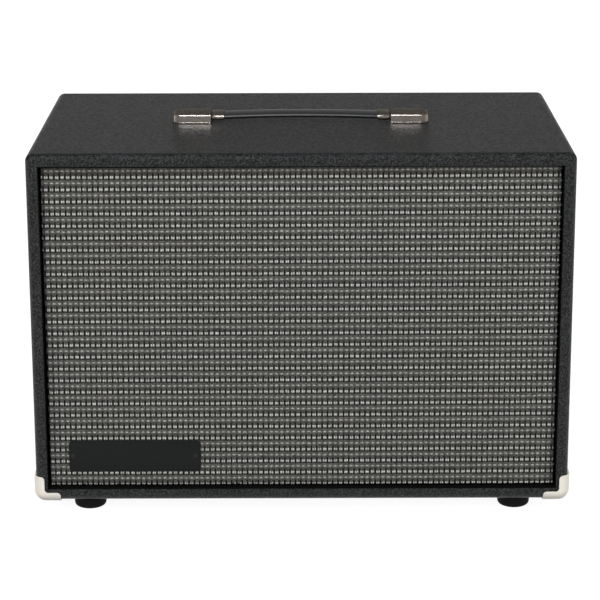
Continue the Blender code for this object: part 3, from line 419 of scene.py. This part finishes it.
def finished(obj, finish, body="cabinet", stands_for=()):
    """Give a shape its finish and its CAD body."""
    obj.data.materials.append(FINISHES[finish])
    obj.data.shade_smooth()
    obj.data.set_sharp_from_angle(angle=SMOOTH_ANGLE)
    if body:
        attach(obj, body)
    if stands_for:
        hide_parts(*stands_for)
    return obj


def box(low, high):
    bm = bmesh.new()
    bmesh.ops.create_cube(bm, size=1)
    low, high = Vector(low), Vector(high)
    bmesh.ops.scale(bm, vec=high - low, verts=bm.verts)
    bmesh.ops.translate(bm, vec=(low + high) / 2, verts=bm.verts)
    return bm


def round_edges(bm, edges, radius, steps):
    bmesh.ops.bevel(bm, geom=list(edges), offset=radius, segments=steps, profile=0.5, affect="EDGES",
                    material=-1)
    return bm


def rounded_cabinet(grow=0.0, steps=8, radius=EDGE_RADIUS):
    """The cabinet's outer form, grown evenly; radius is its edge radius before it grows."""
    bm = box((-HALF_WIDTH - grow, -HALF_DEPTH - grow, BOX_BOTTOM - grow),
             (HALF_WIDTH + grow, HALF_DEPTH + grow, BOX_TOP + grow))
    return round_edges(bm, bm.edges, radius + grow, steps)


def arc(centre, radius, start, end, steps):
    """Points on an arc, with angles in degrees."""
    angles = [math.radians(start + (end - start) * i / steps) for i in range(steps + 1)]
    return [(centre[0] + radius * math.cos(a), centre[1] + radius * math.sin(a)) for a in angles]


def rounded_outline(half_width, half_height, radius, steps=8):
    outline = []
    for sx, sy, start in ((1, 1, 0), (-1, 1, 90), (-1, -1, 180), (1, -1, 270)):
        centre = (sx * (half_width - radius), sy * (half_height - radius))
        outline += arc(centre, radius, start, start + 90, steps)
    return outline


def raised(bm, face, height):
    """Raise a face straight along its normal."""
    direction = face.normal.copy()
    made = bmesh.ops.extrude_face_region(bm, geom=[face])["geom"]
    fresh = [v for v in made if isinstance(v, bmesh.types.BMVert)]
    bmesh.ops.translate(bm, vec=direction * height, verts=fresh)


def stepped(bm, face, insets):
    """Inset a face again and again by (width, rise)."""
    for width, rise in insets:
        bmesh.ops.inset_region(bm, faces=[face], thickness=width, depth=rise, use_even_offset=True)


def prism(outline, low, high):
    """Outline in X and Y, extruded from low to high along Z."""
    bm = bmesh.new()
    face = bm.faces.new([bm.verts.new((x, y, low)) for x, y in outline])
    face.normal_update()
    if face.normal.z < 0:
        face.normal_flip()
        face.normal_update()
    raised(bm, face, high - low)
    bm.normal_update()
    return bm


def moved(bm, matrix):
    bmesh.ops.transform(bm, matrix=matrix, verts=bm.verts)
    return bm


def turned(outline, steps=48, closed=True):
    """Outline of (radius, height) points turned about Z; an open outline ends on the axis."""
    bm = bmesh.new()
    verts = [bm.verts.new((radius, 0, height)) for radius, height in outline]
    pairs = list(zip(verts, verts[1:]))
    if closed:
        pairs.append((verts[-1], verts[0]))
    edges = [bm.edges.new(pair) for pair in pairs]
    bmesh.ops.spin(bm, geom=verts + edges, cent=(0, 0, 0), axis=(0, 0, 1), angle=math.tau, steps=steps,
                   use_merge=True)
    return bm


def plug(radius, low, high, steps=32):
    """Round bar on the Z axis."""
    return turned([(0, low), (radius, low), (radius, high), (0, high)], steps, closed=False)


def copies(shape, places):
    """One bmesh with shape at each place, where a place is a matrix."""
    mesh = closed_mesh(shape, "copy")
    bm = bmesh.new()
    for place in places:
        once = mesh.copy()
        once.transform(place)
        bm.from_mesh(once)
        bpy.data.meshes.remove(once)
    bpy.data.meshes.remove(mesh)
    return bm


def largest_face(bm, direction):
    direction = Vector(direction)
    return max(bm.faces, key=lambda f: f.calc_area() * max(0.0, f.normal.dot(direction)))


def make_covering():
    """Vinyl skin with rounded outer edges, wrapped into the front and back recesses."""
    ring = 0.5 * MM
    bm = rounded_cabinet()
    bm.normal_update()
    # A narrow ring round each flat side keeps its shading flat up to the rounded edge
    for direction in ((0, 0, 1), (0, 0, -1), (1, 0, 0), (-1, 0, 0)):
        stepped(bm, largest_face(bm, direction), [(ring, 0)])
    openings = []
    flat = WALL - EDGE_RADIUS
    for direction in ((0, -1, 0), (0, 1, 0)):
        face = largest_face(bm, direction)
        stepped(bm, face, [(ring, 0), (flat - 1.6 * MM, 0), (0.55 * MM, -0.15 * MM),
                           (0.4 * MM, -0.4 * MM), (0.15 * MM, -0.55 * MM)])
        openings += face.edges
        bmesh.ops.delete(bm, geom=[face], context="FACES_ONLY")
    # The lining between the front and back openings takes the second, dead black finish: painted shade of the
    # recesses
    inside = bmesh.ops.bridge_loops(bm, edges=openings)["faces"]
    covering = loose(bm, "covering_vinyl", painted=inside)
    finished(covering, "vinyl", stands_for=["vinyl_covering"])
    covering.data.materials.append(FINISHES["stain_and_recess_shade"])


def cloth_bulge(x, z):
    """How far the stretched cloth lies behind its flat front near its rounded edges."""
    over_x = np.clip(np.abs(x) - (CLOTH_X - CLOTH_EDGE), 0, CLOTH_EDGE)
    over_z = np.clip(np.abs(z - MIDDLE) - (CLOTH_Z - CLOTH_EDGE), 0, CLOTH_EDGE)
    over = np.maximum(over_x, over_z)
    return CLOTH_EDGE - np.sqrt(np.maximum(0.0, CLOTH_EDGE ** 2 - over ** 2))


def make_cloth():
    """Cloth stretched over the grille frame and folded behind it."""
    bm = box((-CLOTH_X, CLOTH_FRONT, MIDDLE - CLOTH_Z), (CLOTH_X, CLOTH_BACK, MIDDLE + CLOTH_Z))
    bm.normal_update()
    bmesh.ops.delete(bm, geom=[largest_face(bm, (0, 1, 0))], context="FACES_ONLY")
    round_edges(bm, [e for e in bm.edges if not e.is_boundary], CLOTH_EDGE, 4)
    bm.normal_update()
    stepped(bm, largest_face(bm, (0, -1, 0)), [(0.5 * MM, 0)])
    back = [e for e in bm.edges if e.is_boundary]
    made = bmesh.ops.extrude_edge_only(bm, edges=back)["geom"]
    folded = [v for v in made if isinstance(v, bmesh.types.BMVert)]
    shrink = ((CLOTH_X - CLOTH_FOLD) / CLOTH_X, 1, (CLOTH_Z - CLOTH_FOLD) / CLOTH_Z)
    bmesh.ops.scale(bm, vec=shrink, verts=folded, space=Matrix.Translation((0, 0, -MIDDLE)))
    cloth = finished(loose(bm, "stretched_grille_cloth"), "cloth", stands_for=["grille_cloth"])


def repeated(name, shape, offsets, finish):
    """Many copies of one small shape, set on the cloth's surface."""
    mesh = closed_mesh(shape, name)
    mesh.calc_loop_triangles()
    points = np.zeros(len(mesh.vertices) * 3, np.float32)
    corners = np.zeros(len(mesh.loop_triangles) * 3, np.int32)
    mesh.vertices.foreach_get("co", points)
    mesh.loop_triangles.foreach_get("vertices", corners)
    points, corners = points.reshape(-1, 3), corners.reshape(-1, 3)
    bpy.data.meshes.remove(mesh)
    every = (points[None] + offsets[:, None]).reshape(-1, 3)
    every[:, 1] += cloth_bulge(every[:, 0], every[:, 2])
    faces = (corners[None] + (np.arange(len(offsets)) * len(points))[:, None, None]).reshape(-1, 3)
    whole = bpy.data.meshes.new(name)
    whole.from_pydata(every.tolist(), [], faces.tolist())
    obj = bpy.data.objects.new(name, whole)
    bpy.context.scene.collection.objects.link(obj)
    finished(obj, finish)


def half_bead(half_width, half_height, rise):
    """Front half of a flattened bead."""
    bm = bmesh.new()
    bmesh.ops.create_uvsphere(bm, u_segments=6, v_segments=6, radius=1)
    bmesh.ops.rotate(bm, verts=bm.verts, matrix=Matrix.Rotation(math.radians(90), 3, "X"))
    bmesh.ops.bisect_plane(bm, geom=bm.verts[:] + bm.edges[:] + bm.faces[:], plane_co=(0, 0.05, 0),
                           plane_no=(0, 1, 0), clear_outer=True)
    bmesh.ops.scale(bm, vec=(half_width, rise, half_height), verts=bm.verts)
    return bm


def stretch(x, z, factors):
    """How far the uneven stretch moves the weave at a place."""
    return sum(f * product for f, product in zip(factors, (x, z, x * z, x * x, z * z)))


def float_places(shift_x, shift_z, rng):
    """Places of one float per crossing, each a little off, as in a real weave."""
    scatter = 0.12 * MM
    columns = np.arange(-COLUMNS_EACH_WAY, COLUMNS_EACH_WAY + 1) * COLUMN_PITCH + COLUMN_START
    rows = np.arange(-ROWS_EACH_WAY, ROWS_EACH_WAY + 1) * ROW_PITCH + ROW_START - MIDDLE
    x, z = np.meshgrid(columns + shift_x, rows + shift_z)
    x, z = x + stretch(x, z, STRETCH_ACROSS), z + stretch(x, z, STRETCH_UP)
    x = x + rng.normal(0, scatter, x.shape)
    z = z + rng.normal(0, scatter, z.shape)
    inside = (np.abs(x) < CLOTH_X - 0.3 * MM) & (np.abs(z) < CLOTH_Z - 0.4 * MM)
    flat = np.stack([x[inside], np.full(inside.sum(), CLOTH_FRONT), z[inside] + MIDDLE], axis=1)
    return flat.astype(np.float32)


def make_floats():
    """Bright paired floats in one row and single dim floats half a row below."""
    rng = np.random.default_rng(4)
    beside, below = 0.98 * MM, 0.47 * ROW_PITCH
    for hand, side in (("left", -1), ("right", 1)):
        places = float_places(side * beside, 0, rng)
        bead = half_bead(0.95 * MM, 1.55 * MM, 0.38 * MM)
        repeated(f"bright_{hand}_floats", bead, places, "bright_float")
    singles = float_places(0, -below, rng)
    repeated("dim_weave_floats", half_bead(1.6 * MM, 1.0 * MM, 0.32 * MM), singles, "dim_float")


def make_name_plate():
    """Bare plate held by two small pins."""
    corner, bevel = 5 * MM, [(0.12 * MM, 0.2 * MM), (0.25 * MM, 0.15 * MM)]
    low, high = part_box("name_plate")
    middle, half = (low + high) / 2, (high - low) / 2
    bm = prism(rounded_outline(half.x, half.z, corner), 0, half.y * 2 - sum(rise for _, rise in bevel))
    stepped(bm, largest_face(bm, (0, 0, 1)), bevel)
    turn = Matrix(((1, 0, 0, middle.x), (0, 0, -1, high.y), (0, 1, 0, middle.z), (0, 0, 0, 1)))
    finished(loose(moved(bm, turn), "bare_name_plate"), "plate", stands_for=["name_plate"])

    radius, sunk = 2.4 * MM, -0.1 * MM
    head = turned([(0, 0.7 * MM), (1.2 * MM, 0.6 * MM), (2.0 * MM, 0.35 * MM), (radius, 0), (radius, sunk),
                   (0, sunk)], 24, closed=False)
    out = Matrix.Rotation(math.radians(90), 4, "X")
    pins = (low.x + 4.2 * MM, high.x - 5.8 * MM)
    places = [Matrix.Translation((x, low.y, middle.z)) @ out for x in pins]
    finished(loose(copies(head, places), "name_plate_pins"), "black_plastic")


def corner_screw_places(sx, sy):
    """Seats of the side screw and the underside screw, below the protector's outer face."""
    side_y, side_z = 20 * MM, 17 * MM
    under_x, under_y = 15 * MM, 19 * MM
    side = Matrix.Translation((sx * (HALF_WIDTH + SCREW_SEAT), sy * (HALF_DEPTH - side_y),
                               BOX_BOTTOM + side_z))
    under = Matrix.Translation((sx * (HALF_WIDTH - under_x), sy * (HALF_DEPTH - under_y),
                                BOX_BOTTOM - SCREW_SEAT))
    return [side @ Matrix.Rotation(math.radians(90 * sx), 4, "Y"),
            under @ Matrix.Rotation(math.radians(180), 4, "X")]


def corner_arm(outline, low, high, place, name):
    """Blank of one arm, with its free edges rounded."""
    bm = prism(outline, low, high)
    round_edges(bm, [e for e in bm.edges if all(v.co.z > 0 for v in e.verts)], 4 * MM, 5)
    return loose(moved(bm, place), name)


def corner_shell():
    """Moulded shell over the front left bottom corner of the box."""
    front_height, side_height = 27.4 * MM, 27.8 * MM
    step_start, step_end = 6 * MM, 12.5 * MM
    depth, length, rounding = 32 * MM, 26.5 * MM, 12 * MM
    outside, arm, fillet = 6 * MM, 9.5 * MM, 4 * MM
    corner = Vector((-HALF_WIDTH, -HALF_DEPTH, BOX_BOTTOM))
    side = [(-outside, -outside), (-outside, front_height), (step_start, front_height),
            (step_end, side_height)]
    side += arc((depth - rounding, side_height - rounding), rounding, 90, 0, 10) + [(depth, -outside)]
    to_side = Matrix(((0, 0, 1, corner.x), (1, 0, 0, corner.y), (0, 1, 0, corner.z), (0, 0, 0, 1)))
    shape = corner_arm(side, -outside, arm, to_side, "corner_shell")

    under = [(-outside, -outside), (length, -outside)]
    under += arc((length - rounding, depth - rounding), rounding, 0, 90, 10) + [(-outside, depth)]
    combine(shape, corner_arm(under, -outside, arm, Matrix.Translation(corner), "under"), "UNION")

    inner = arm - 0.1 * MM
    web = [(inner, inner), (inner + fillet, inner)]
    web += arc((inner + fillet, inner + fillet), fillet, 270, 180, 5)
    to_front = Matrix(((1, 0, 0, corner.x), (0, 0, 1, corner.y), (0, -1, 0, corner.z), (0, 0, 0, 1)))
    web_prism = moved(prism([(x, -z) for x, z in web], -outside, 4 * MM), to_front)
    combine(shape, loose(web_prism, "web"), "UNION")

    combine(shape, loose(rounded_cabinet(SHELL_GAP + SHELL_WALL, 12, 10 * MM), "outer"), "INTERSECT")
    combine(shape, loose(rounded_cabinet(SHELL_GAP, 10), "inner"), "DIFFERENCE")
    for place in corner_screw_places(-1, -1):
        sink = turned([(0, 0), (3.5 * MM, 0), (3.8 * MM, 4 * MM), (0, 4 * MM)], 32, closed=False)
        combine(shape, loose(moved(sink, place), "sink"), "DIFFERENCE")
    return shape


def make_corners():
    shell = corner_shell()
    for end, sy in (("front", 1), ("rear", -1)):
        for hand, sx in (("left", 1), ("right", -1)):
            bm = bmesh.new()
            bm.from_mesh(shell.data)
            bmesh.ops.scale(bm, vec=(sx, sy, 1), verts=bm.verts)
            node = f"corner_{end}_{hand}"
            obj = loose(bm, f"{node}_protector")
            rim = obj.modifiers.new("rim", "BEVEL")
            rim.width, rim.segments, rim.limit_method = 0.5 * MM, 2, "ANGLE"
            rim.angle_limit = math.radians(50)
            finished(obj, "ivory", stands_for=[node])
    bpy.data.objects.remove(shell)


def make_corner_screws():
    """One screw in the side and one in the underside of each corner protector."""
    places = [place for sx in (-1, 1) for sy in (-1, 1) for place in corner_screw_places(sx, sy)]
    finished(loose(copies(cross_screw(3 * MM, 0.8 * MM), places), "corner_screws"), "zinc")


def make_feet():
    """Turned rubber feet with a recess for the screw."""
    profile = [(2.7 * MM, -0.3 * MM), (17.3 * MM, -0.3 * MM), (17.5 * MM, -0.6 * MM), (17.4 * MM, -4 * MM)]
    profile += arc((13 * MM, -10.8 * MM), 4.2 * MM, 5, -90, 8)
    profile += [(6.3 * MM, -15 * MM), (6 * MM, -14.7 * MM), (6 * MM, -4.5 * MM), (2.7 * MM, -4.5 * MM)]
    for node in ("foot_front_left", "foot_front_right", "foot_rear_left", "foot_rear_right"):
        low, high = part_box(node)
        middle = (low + high) / 2
        foot = moved(turned(profile), Matrix.Translation((middle.x, middle.y, BOX_BOTTOM)))
        finished(loose(foot, f"{node}_rubber"), "rubber", stands_for=[node])


def cap_shape():
    """Pressed cap over the right end of the strap: foot flange, straight wall and slightly domed top."""
    half = CAP_DEPTH / 2
    spare = 20 * MM
    plan = [(CAP_MOUTH - spare, -half)]
    plan += arc((CAP_END - CAP_CORNER, CAP_CORNER - half), CAP_CORNER, -90, 0, 10)
    plan += arc((CAP_END - CAP_CORNER, half - CAP_CORNER), CAP_CORNER, 0, 90, 10)
    plan += [(CAP_MOUTH - spare, half)]
    bm = prism(plan, 0.3 * MM, 1.1 * MM)
    flange = [(0.15 * MM, 0.2 * MM), (0.35 * MM, 0.1 * MM), (0.15 * MM, 0.3 * MM)]
    wall = [(0.25 * MM, 6.7 * MM), (0.2 * MM, 0.4 * MM), (0.55 * MM, 0.8 * MM), (0.5 * MM, 0.3 * MM)]
    dome = [(0.4 * MM, 0.06 * MM), (2 * MM, 0.06 * MM), (4 * MM, 0.06 * MM)]
    stepped(bm, largest_face(bm, (0, 0, 1)), flange + wall + dome)
    cut = bmesh.ops.bisect_plane(bm, geom=bm.verts[:] + bm.edges[:] + bm.faces[:],
                                 plane_co=(CAP_MOUTH, 0, 0), plane_no=(-1, 0, 0), clear_outer=True)
    rim = [e for e in cut["geom_cut"] if isinstance(e, bmesh.types.BMEdge)]
    bmesh.ops.edgeloop_fill(bm, edges=rim)
    cap = loose(bm, "cap_shape")

    side_wall, end_wall = 3.5 * MM, 11.5 * MM
    pocket = box((CAP_MOUTH - 5 * MM, side_wall - half, 1.7 * MM),
                 (CAP_END - end_wall, half - side_wall, 8 * MM))
    long_edges = [e for e in pocket.edges if abs((e.verts[0].co - e.verts[1].co).normalized().x) > 0.9]
    round_edges(pocket, long_edges, 1.5 * MM, 4)
    combine(cap, loose(pocket, "pocket"), "DIFFERENCE")
    boss = moved(plug(BOSS_RADIUS, 1 * MM, 9 * MM, 24), Matrix.Translation((BOSS_X, 0, 0)))
    return combine(cap, loose(boss, "boss"), "UNION")


def mirrored(source, side, name, offset):
    """Copy of a shape, on the left for side -1, moved by offset."""
    bm = bmesh.new()
    bm.from_mesh(source.data)
    bmesh.ops.scale(bm, vec=(side, 1, 1), verts=bm.verts)
    bmesh.ops.translate(bm, vec=offset, verts=bm.verts)
    return loose(bm, name)


def fitting_shape():
    """Crimped sleeve and slotted tongue at the right end of the strap."""
    centre_height, crimp = 6.2 * MM, [(0.4 * MM, 0.7 * MM), (0.7 * MM, 0.5 * MM)]
    bm = prism(rounded_outline(16 * MM, 3.2 * MM, 2.6 * MM, 6), SLEEVE_INNER,
               SLEEVE_INNER + SLEEVE_LENGTH - sum(rise for _, rise in crimp))
    stepped(bm, largest_face(bm, (0, 0, 1)), crimp)
    across = Matrix(((0, 0, 1, 0), (1, 0, 0, 0), (0, 1, 0, centre_height), (0, 0, 0, 1)))
    fitting = loose(moved(bm, across), "fitting_shape")
    tongue = prism(rounded_outline(20 * MM, 10 * MM, 4 * MM, 6), -1.2 * MM, 1.2 * MM)
    tongue_place = Matrix.Translation((107.3 * MM, 0, centre_height))
    combine(fitting, loose(moved(tongue, tongue_place), "tongue"), "UNION")
    play = BOSS_RADIUS + 0.6 * MM
    slot = arc((BOSS_X, 0), play, 90, 270, 12) + arc((BOSS_X + END_TRAVEL, 0), play, 270, 450, 12)
    return combine(fitting, loose(prism(slot, 2 * MM, 10.4 * MM), "slot"), "DIFFERENCE")


def strap_section(x):
    """Slightly domed top with moulded edges, bowed up a little towards the middle of the span."""
    seat, bow = 4.5 * MM, 1.7 * MM
    half, height, edge = STRAP_WIDTH / 2, 4.2 * MM, 0.9 * MM
    base = seat + bow * (1 - (x / SLEEVE_INNER) ** 2)
    right = [(0.55 * half, height), (0.86 * half, height - 0.35 * MM), (half - 1.1 * MM, height - 0.5 * MM),
             (half - 0.45 * MM, height - 1.45 * MM), (half, height - 2.3 * MM)]
    right += arc((half - edge, edge), edge, 0, -90, 3)
    left = [(-y, z) for y, z in right[::-1]]
    return [Vector((x, y, base + z)) for y, z in right + left]


def make_strap(side, hand):
    """Half of the strap, from the middle of the grip to its sleeve."""
    steps = 24
    reach = SLEEVE_INNER + 2 * MM
    bm = bmesh.new()
    ring = [bm.verts.new(point) for point in strap_section(0)]
    edges = [bm.edges.new(pair) for pair in zip(ring, ring[1:] + ring[:1])]
    for i in range(1, steps + 1):
        made = bmesh.ops.extrude_edge_only(bm, edges=edges)["geom"]
        fresh = [v for v in made if isinstance(v, bmesh.types.BMVert)]
        section = strap_section(reach * i / steps)
        old = strap_section(reach * (i - 1) / steps)
        for vert in fresh:
            index = min(range(len(old)), key=lambda k: (vert.co - old[k]).length)
            vert.co = section[index]
        edges = [e for e in made if isinstance(e, bmesh.types.BMEdge) and all(v in fresh for v in e.verts)]
    bmesh.ops.scale(bm, vec=(side, 1, 1), verts=bm.verts)
    bmesh.ops.translate(bm, vec=(0, HANDLE_Y, BOX_TOP), verts=bm.verts)
    strap = finished(loose(bm, f"strap_half_{hand}"), "strap", body=None)
    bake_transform(strap)
    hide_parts(f"strap_end_{hand}", "strap_grip")


def make_handle():
    seat = Vector((0, HANDLE_Y, BOX_TOP))
    cap, fitting = cap_shape(), fitting_shape()
    for side, hand in ((-1, "left"), (1, "right")):
        shell = mirrored(cap, side, f"handle_cap_{hand}_pressed", seat)
        finished(shell, "nickel", stands_for=[f"handle_cap_{hand}"])
        sleeve = mirrored(fitting, side, f"strap_sleeve_{hand}", seat)
        finished(sleeve, "nickel", body=f"{hand}_strap_end", stands_for=[f"strap_fitting_{hand}"])
        make_strap(side, hand)
    bpy.data.objects.remove(cap)
    bpy.data.objects.remove(fitting)


def cross_screw(radius, height):
    """Domed screw head with a cross recess."""
    profile = [(0, height), (radius * 0.45, height * 0.92), (radius * 0.8, height * 0.6), (radius, 0),
               (radius * 0.98, -0.3 * MM), (0, -0.3 * MM)]
    head = loose(turned(profile, 20, closed=False), "screw_head")
    arm, slot = radius * 0.55, radius * 0.16
    for half_x, half_y in ((arm, slot), (slot, arm)):
        recess = box((-half_x, -half_y, height * 0.35), (half_x, half_y, height * 3))
        combine(head, loose(recess, "recess"), "DIFFERENCE")
    return shape_of(head)


def make_panel_screws():
    """Back panel's screws in cup washers, round its edge."""
    face = Matrix.Rotation(math.radians(-90), 4, "X")
    out_x, out_z = 262 * MM, 168 * MM
    spots = [(x, z) for z in (-out_z, out_z) for x in (-255 * MM, -85 * MM, 85 * MM, 255 * MM)]
    spots += [(x, z) for x in (-out_x, out_x) for z in (-60 * MM, 60 * MM)]
    cup = turned([(4.2 * MM, 0.6 * MM), (5.5 * MM, 2.0 * MM), (6.6 * MM, 1.9 * MM), (8.2 * MM, 0.3 * MM),
                  (8 * MM, 0.05 * MM), (4.2 * MM, 0.05 * MM)], 28)
    for shape, rise, name in ((cup, 0, "back_cup_washers"),
                              (cross_screw(4.9 * MM, 1.6 * MM), 1.0 * MM, "back_panel_screws")):
        places = [Matrix.Translation((x, PANEL_FACE + rise, MIDDLE + z)) @ face for x, z in spots]
        finished(loose(copies(shape, places), name), "zinc")


def make_jack_dish(to_back):
    """Moulded dish with a flange, a draughted hollow and two bores for the sockets."""
    flange_width, wall, floor = 14 * MM, 1.5 * MM, -24 * MM
    rim = rounded_outline(DISH_HALF_WIDTH + flange_width, DISH_HALF_HEIGHT + flange_width, DISH_CORNER)
    flange = prism(rim, 0.3 * MM, 1.4 * MM)
    stepped(flange, largest_face(flange, (0, 0, 1)), [(0.3 * MM, 0.35 * MM), (0.5 * MM, 0.15 * MM)])
    dish = loose(flange, "jack_dish_shape")
    shell = prism(rounded_outline(DISH_HALF_WIDTH + 2 * MM, DISH_HALF_HEIGHT + 2 * MM, DISH_CORNER + 2 * MM),
                  floor - 2 * MM, 1 * MM)
    combine(dish, loose(shell, "shell"), "UNION")
    hollow = prism(rounded_outline(DISH_HALF_WIDTH - wall, DISH_HALF_HEIGHT - wall, DISH_CORNER - wall),
                   floor, floor + 1 * MM)
    stepped(hollow, largest_face(hollow, (0, 0, 1)), [(-1.6 * MM, 30 * MM)])
    combine(dish, loose(hollow, "hollow"), "DIFFERENCE")
    bores = copies(plug(5.1 * MM, -30 * MM, -20 * MM),
                   [Matrix.Translation((x, 0, 0)) for x in (-JACK_X, JACK_X)])
    combine(dish, loose(bores, "bores"), "DIFFERENCE")
    dish.data.transform(to_back)
    finished(dish, "black_plastic", stands_for=["jack_dish"])


def make_jacks(to_back):
    """Two sockets with their nuts and washers, and the dish's four screws."""
    places = [to_back @ Matrix.Translation((x, 0, 0)) for x in (-JACK_X, JACK_X)]
    profile = [(0, -52.3 * MM), (9 * MM, -52.3 * MM), (9 * MM, -26.3 * MM), (4.8 * MM, -26.3 * MM),
               (4.8 * MM, -18.3 * MM), (4.4 * MM, -18 * MM), (3.6 * MM, -18 * MM), (3.3 * MM, -18.3 * MM),
               (3.3 * MM, -50.3 * MM), (0, -50.3 * MM)]
    for hand, place in zip(("left", "right"), places):
        socket = moved(turned(profile, 40, closed=False), place)
        finished(loose(socket, f"jack_{hand}_socket"), "zinc", stands_for=[f"jack_socket_{hand}"])
    angles = [math.radians(60 * i + 30) for i in range(6)]
    hexagon = [(6.9 * MM * math.cos(a), 6.9 * MM * math.sin(a)) for a in angles]
    nut = loose(prism(hexagon, -22.9 * MM, -20.4 * MM), "nut")
    combine(nut, loose(plug(4.9 * MM, -24 * MM, -19 * MM), "thread"), "DIFFERENCE")
    finished(loose(copies(shape_of(nut), places), "jack_nuts"), "zinc")
    washer = turned([(5 * MM, -23.9 * MM), (8.4 * MM, -23.9 * MM), (8.4 * MM, -23.0 * MM),
                     (5 * MM, -23.0 * MM)], 40)
    finished(loose(copies(washer, places), "jack_washers"), "zinc")
    screw_x, screw_z, face = 53.5 * MM, 36.5 * MM, 1.9 * MM
    screws = [to_back @ Matrix.Translation((sx * screw_x, sz * screw_z, face))
              for sx in (-1, 1) for sz in (-1, 1)]
    finished(loose(copies(cross_screw(3.4 * MM, 1.5 * MM), screws), "jack_dish_screws"), "zinc")


def make_back():
    make_panel_screws()
    to_back = (Matrix.Translation((0, PANEL_FACE, MIDDLE)) @ Matrix.Rotation(math.radians(180), 4, "Z")
               @ Matrix.Rotation(math.radians(90), 4, "X"))
    make_jack_dish(to_back)
    make_jacks(to_back)


def make_floor():
    """Pale floor that looks white but lights the cabinet only dimly from below."""
    floor_half, brightness = 12, 0.93
    bm = bmesh.new()
    bmesh.ops.create_grid(bm, x_segments=1, y_segments=1, size=floor_half)
    floor = loose(bm, "floor")
    material = bpy.data.materials.new("pale_floor")
    material.use_nodes = True
    tree = material.node_tree
    tree.nodes.clear()
    matt = add(tree, "ShaderNodeBsdfDiffuse", {"Color": linear("787878")})
    path = add(tree, "ShaderNodeLightPath").outputs
    # 1 for rays that the camera, a mirror or glass sends, 0 for light on surfaces
    seen = add(tree, "ShaderNodeMath", {0: path["Is Camera Ray"], 1: path["Is Glossy Ray"]},
               operation="MAXIMUM")
    seen = add(tree, "ShaderNodeMath", {0: seen, 1: path["Is Transmission Ray"]}, operation="MAXIMUM")
    strength = add(tree, "ShaderNodeMath", {0: seen, 1: brightness}, operation="MULTIPLY")
    glow = add(tree, "ShaderNodeEmission", {"Color": linear("ffffff"), "Strength": strength})
    both = add(tree, "ShaderNodeAddShader", {0: matt, 1: glow})
    add(tree, "ShaderNodeOutputMaterial", {"Surface": both})
    floor.data.materials.append(material)


def make_surroundings():
    """White to the camera; mirrors see a white backdrop that darkens upwards to the ceiling."""
    seen_level, surface_level, ceiling_level = 1.0, 0.34, 0.15
    backdrop_top, ceiling_start = 0.02, 0.15
    world = bpy.data.worlds.new("studio")
    bpy.context.scene.world = world
    world.use_nodes = True
    tree = world.node_tree
    tree.nodes.clear()
    path = add(tree, "ShaderNodeLightPath").outputs
    direction = add(tree, "ShaderNodeTexCoord").outputs["Generated"]
    height = add(tree, "ShaderNodeSeparateXYZ", {"Vector": direction}).outputs["Z"]
    in_mirrors = add(tree, "ShaderNodeMapRange", {"Value": height, "From Min": backdrop_top,
                                                  "From Max": ceiling_start, "To Min": seen_level,
                                                  "To Max": ceiling_level}, interpolation_type="SMOOTHSTEP")
    level = add(tree, "ShaderNodeMix", {0: path["Is Glossy Ray"], 2: surface_level, 3: in_mirrors})
    direct = add(tree, "ShaderNodeMath", {0: path["Is Camera Ray"], 1: path["Is Transmission Ray"]},
                 operation="MAXIMUM")
    level = add(tree, "ShaderNodeMix", {0: direct, 2: level, 3: seen_level})
    sky = add(tree, "ShaderNodeBackground", {"Color": linear("ffffff"), "Strength": level})
    add(tree, "ShaderNodeOutputWorld", {"Surface": sky})


# Softboxes: name, place, point they face, width and height in metres, watts, colour, seen in mirrors.
# All but the front one are hidden from mirrors, as the flat top would show them as white patches.
LAMPS = (
    ("softbox_front", (-0.5, -2.2, 3.0), (0, 0, 0.2), (2.4, 0.9), 68, "f4f9ff", True),
    ("softbox_above", (-0.2, 0.8, 2.4), (0, 0, 0.3), (1.8, 0.7), 14, "ffe6d0", False),
    ("softbox_left", (-2.4, -2.4, 1.3), (0, 0, 0.2), (1.2, 1.6), 44, "ffffff", False),
    ("softbox_right", (2.4, -2.4, 1.3), (0, 0, 0.2), (1.2, 1.6), 56, "ffffff", False),
    ("softbox_rear", (-0.6, 2.9, 1.3), (0, 0, 0.2), (2.0, 1.0), 26, "ffeedd", False),
)


def make_lamps():
    for name, place, target, size, watts, colour, in_mirrors in LAMPS:
        data = bpy.data.lights.new(name, "AREA")
        data.shape = "RECTANGLE"
        data.size, data.size_y = size
        data.energy = watts
        data.color = linear(colour)[:3]
        softbox = bpy.data.objects.new(name, data)
        bpy.context.scene.collection.objects.link(softbox)
        softbox.location = place
        softbox.rotation_euler = (Vector(target) - Vector(place)).to_track_quat("-Z", "Y").to_euler()
        softbox.visible_glossy = in_mirrors


def make_camera():
    """Camera fitted to the cabinet's edges in the photograph: a long lens, a little above the top."""
    place = (-0.00198, -2.36816, 0.88324)
    yaw, pitch, roll = -0.00028, 0.26316, -0.00262
    data = bpy.data.cameras.new("camera")
    data.sensor_width = 36
    data.lens = 131.33
    data.shift_y = -0.08
    camera = bpy.data.objects.new("camera", data)
    bpy.context.scene.collection.objects.link(camera)
    direction = Vector((-math.sin(yaw) * math.cos(pitch), math.cos(yaw) * math.cos(pitch), -math.sin(pitch)))
    turn = direction.to_track_quat("-Z", "Y").to_matrix().to_4x4() @ Matrix.Rotation(roll, 4, "Z")
    camera.rotation_euler = turn.to_euler()
    camera.location = place
    bpy.context.scene.camera = camera


make_covering()
make_cloth()
make_floats()
make_name_plate()
make_corners()
make_corner_screws()
make_feet()
make_handle()
make_back()
make_floor()
make_surroundings()
make_lamps()
make_camera()
bpy.context.scene.view_settings.view_transform = "Standard"
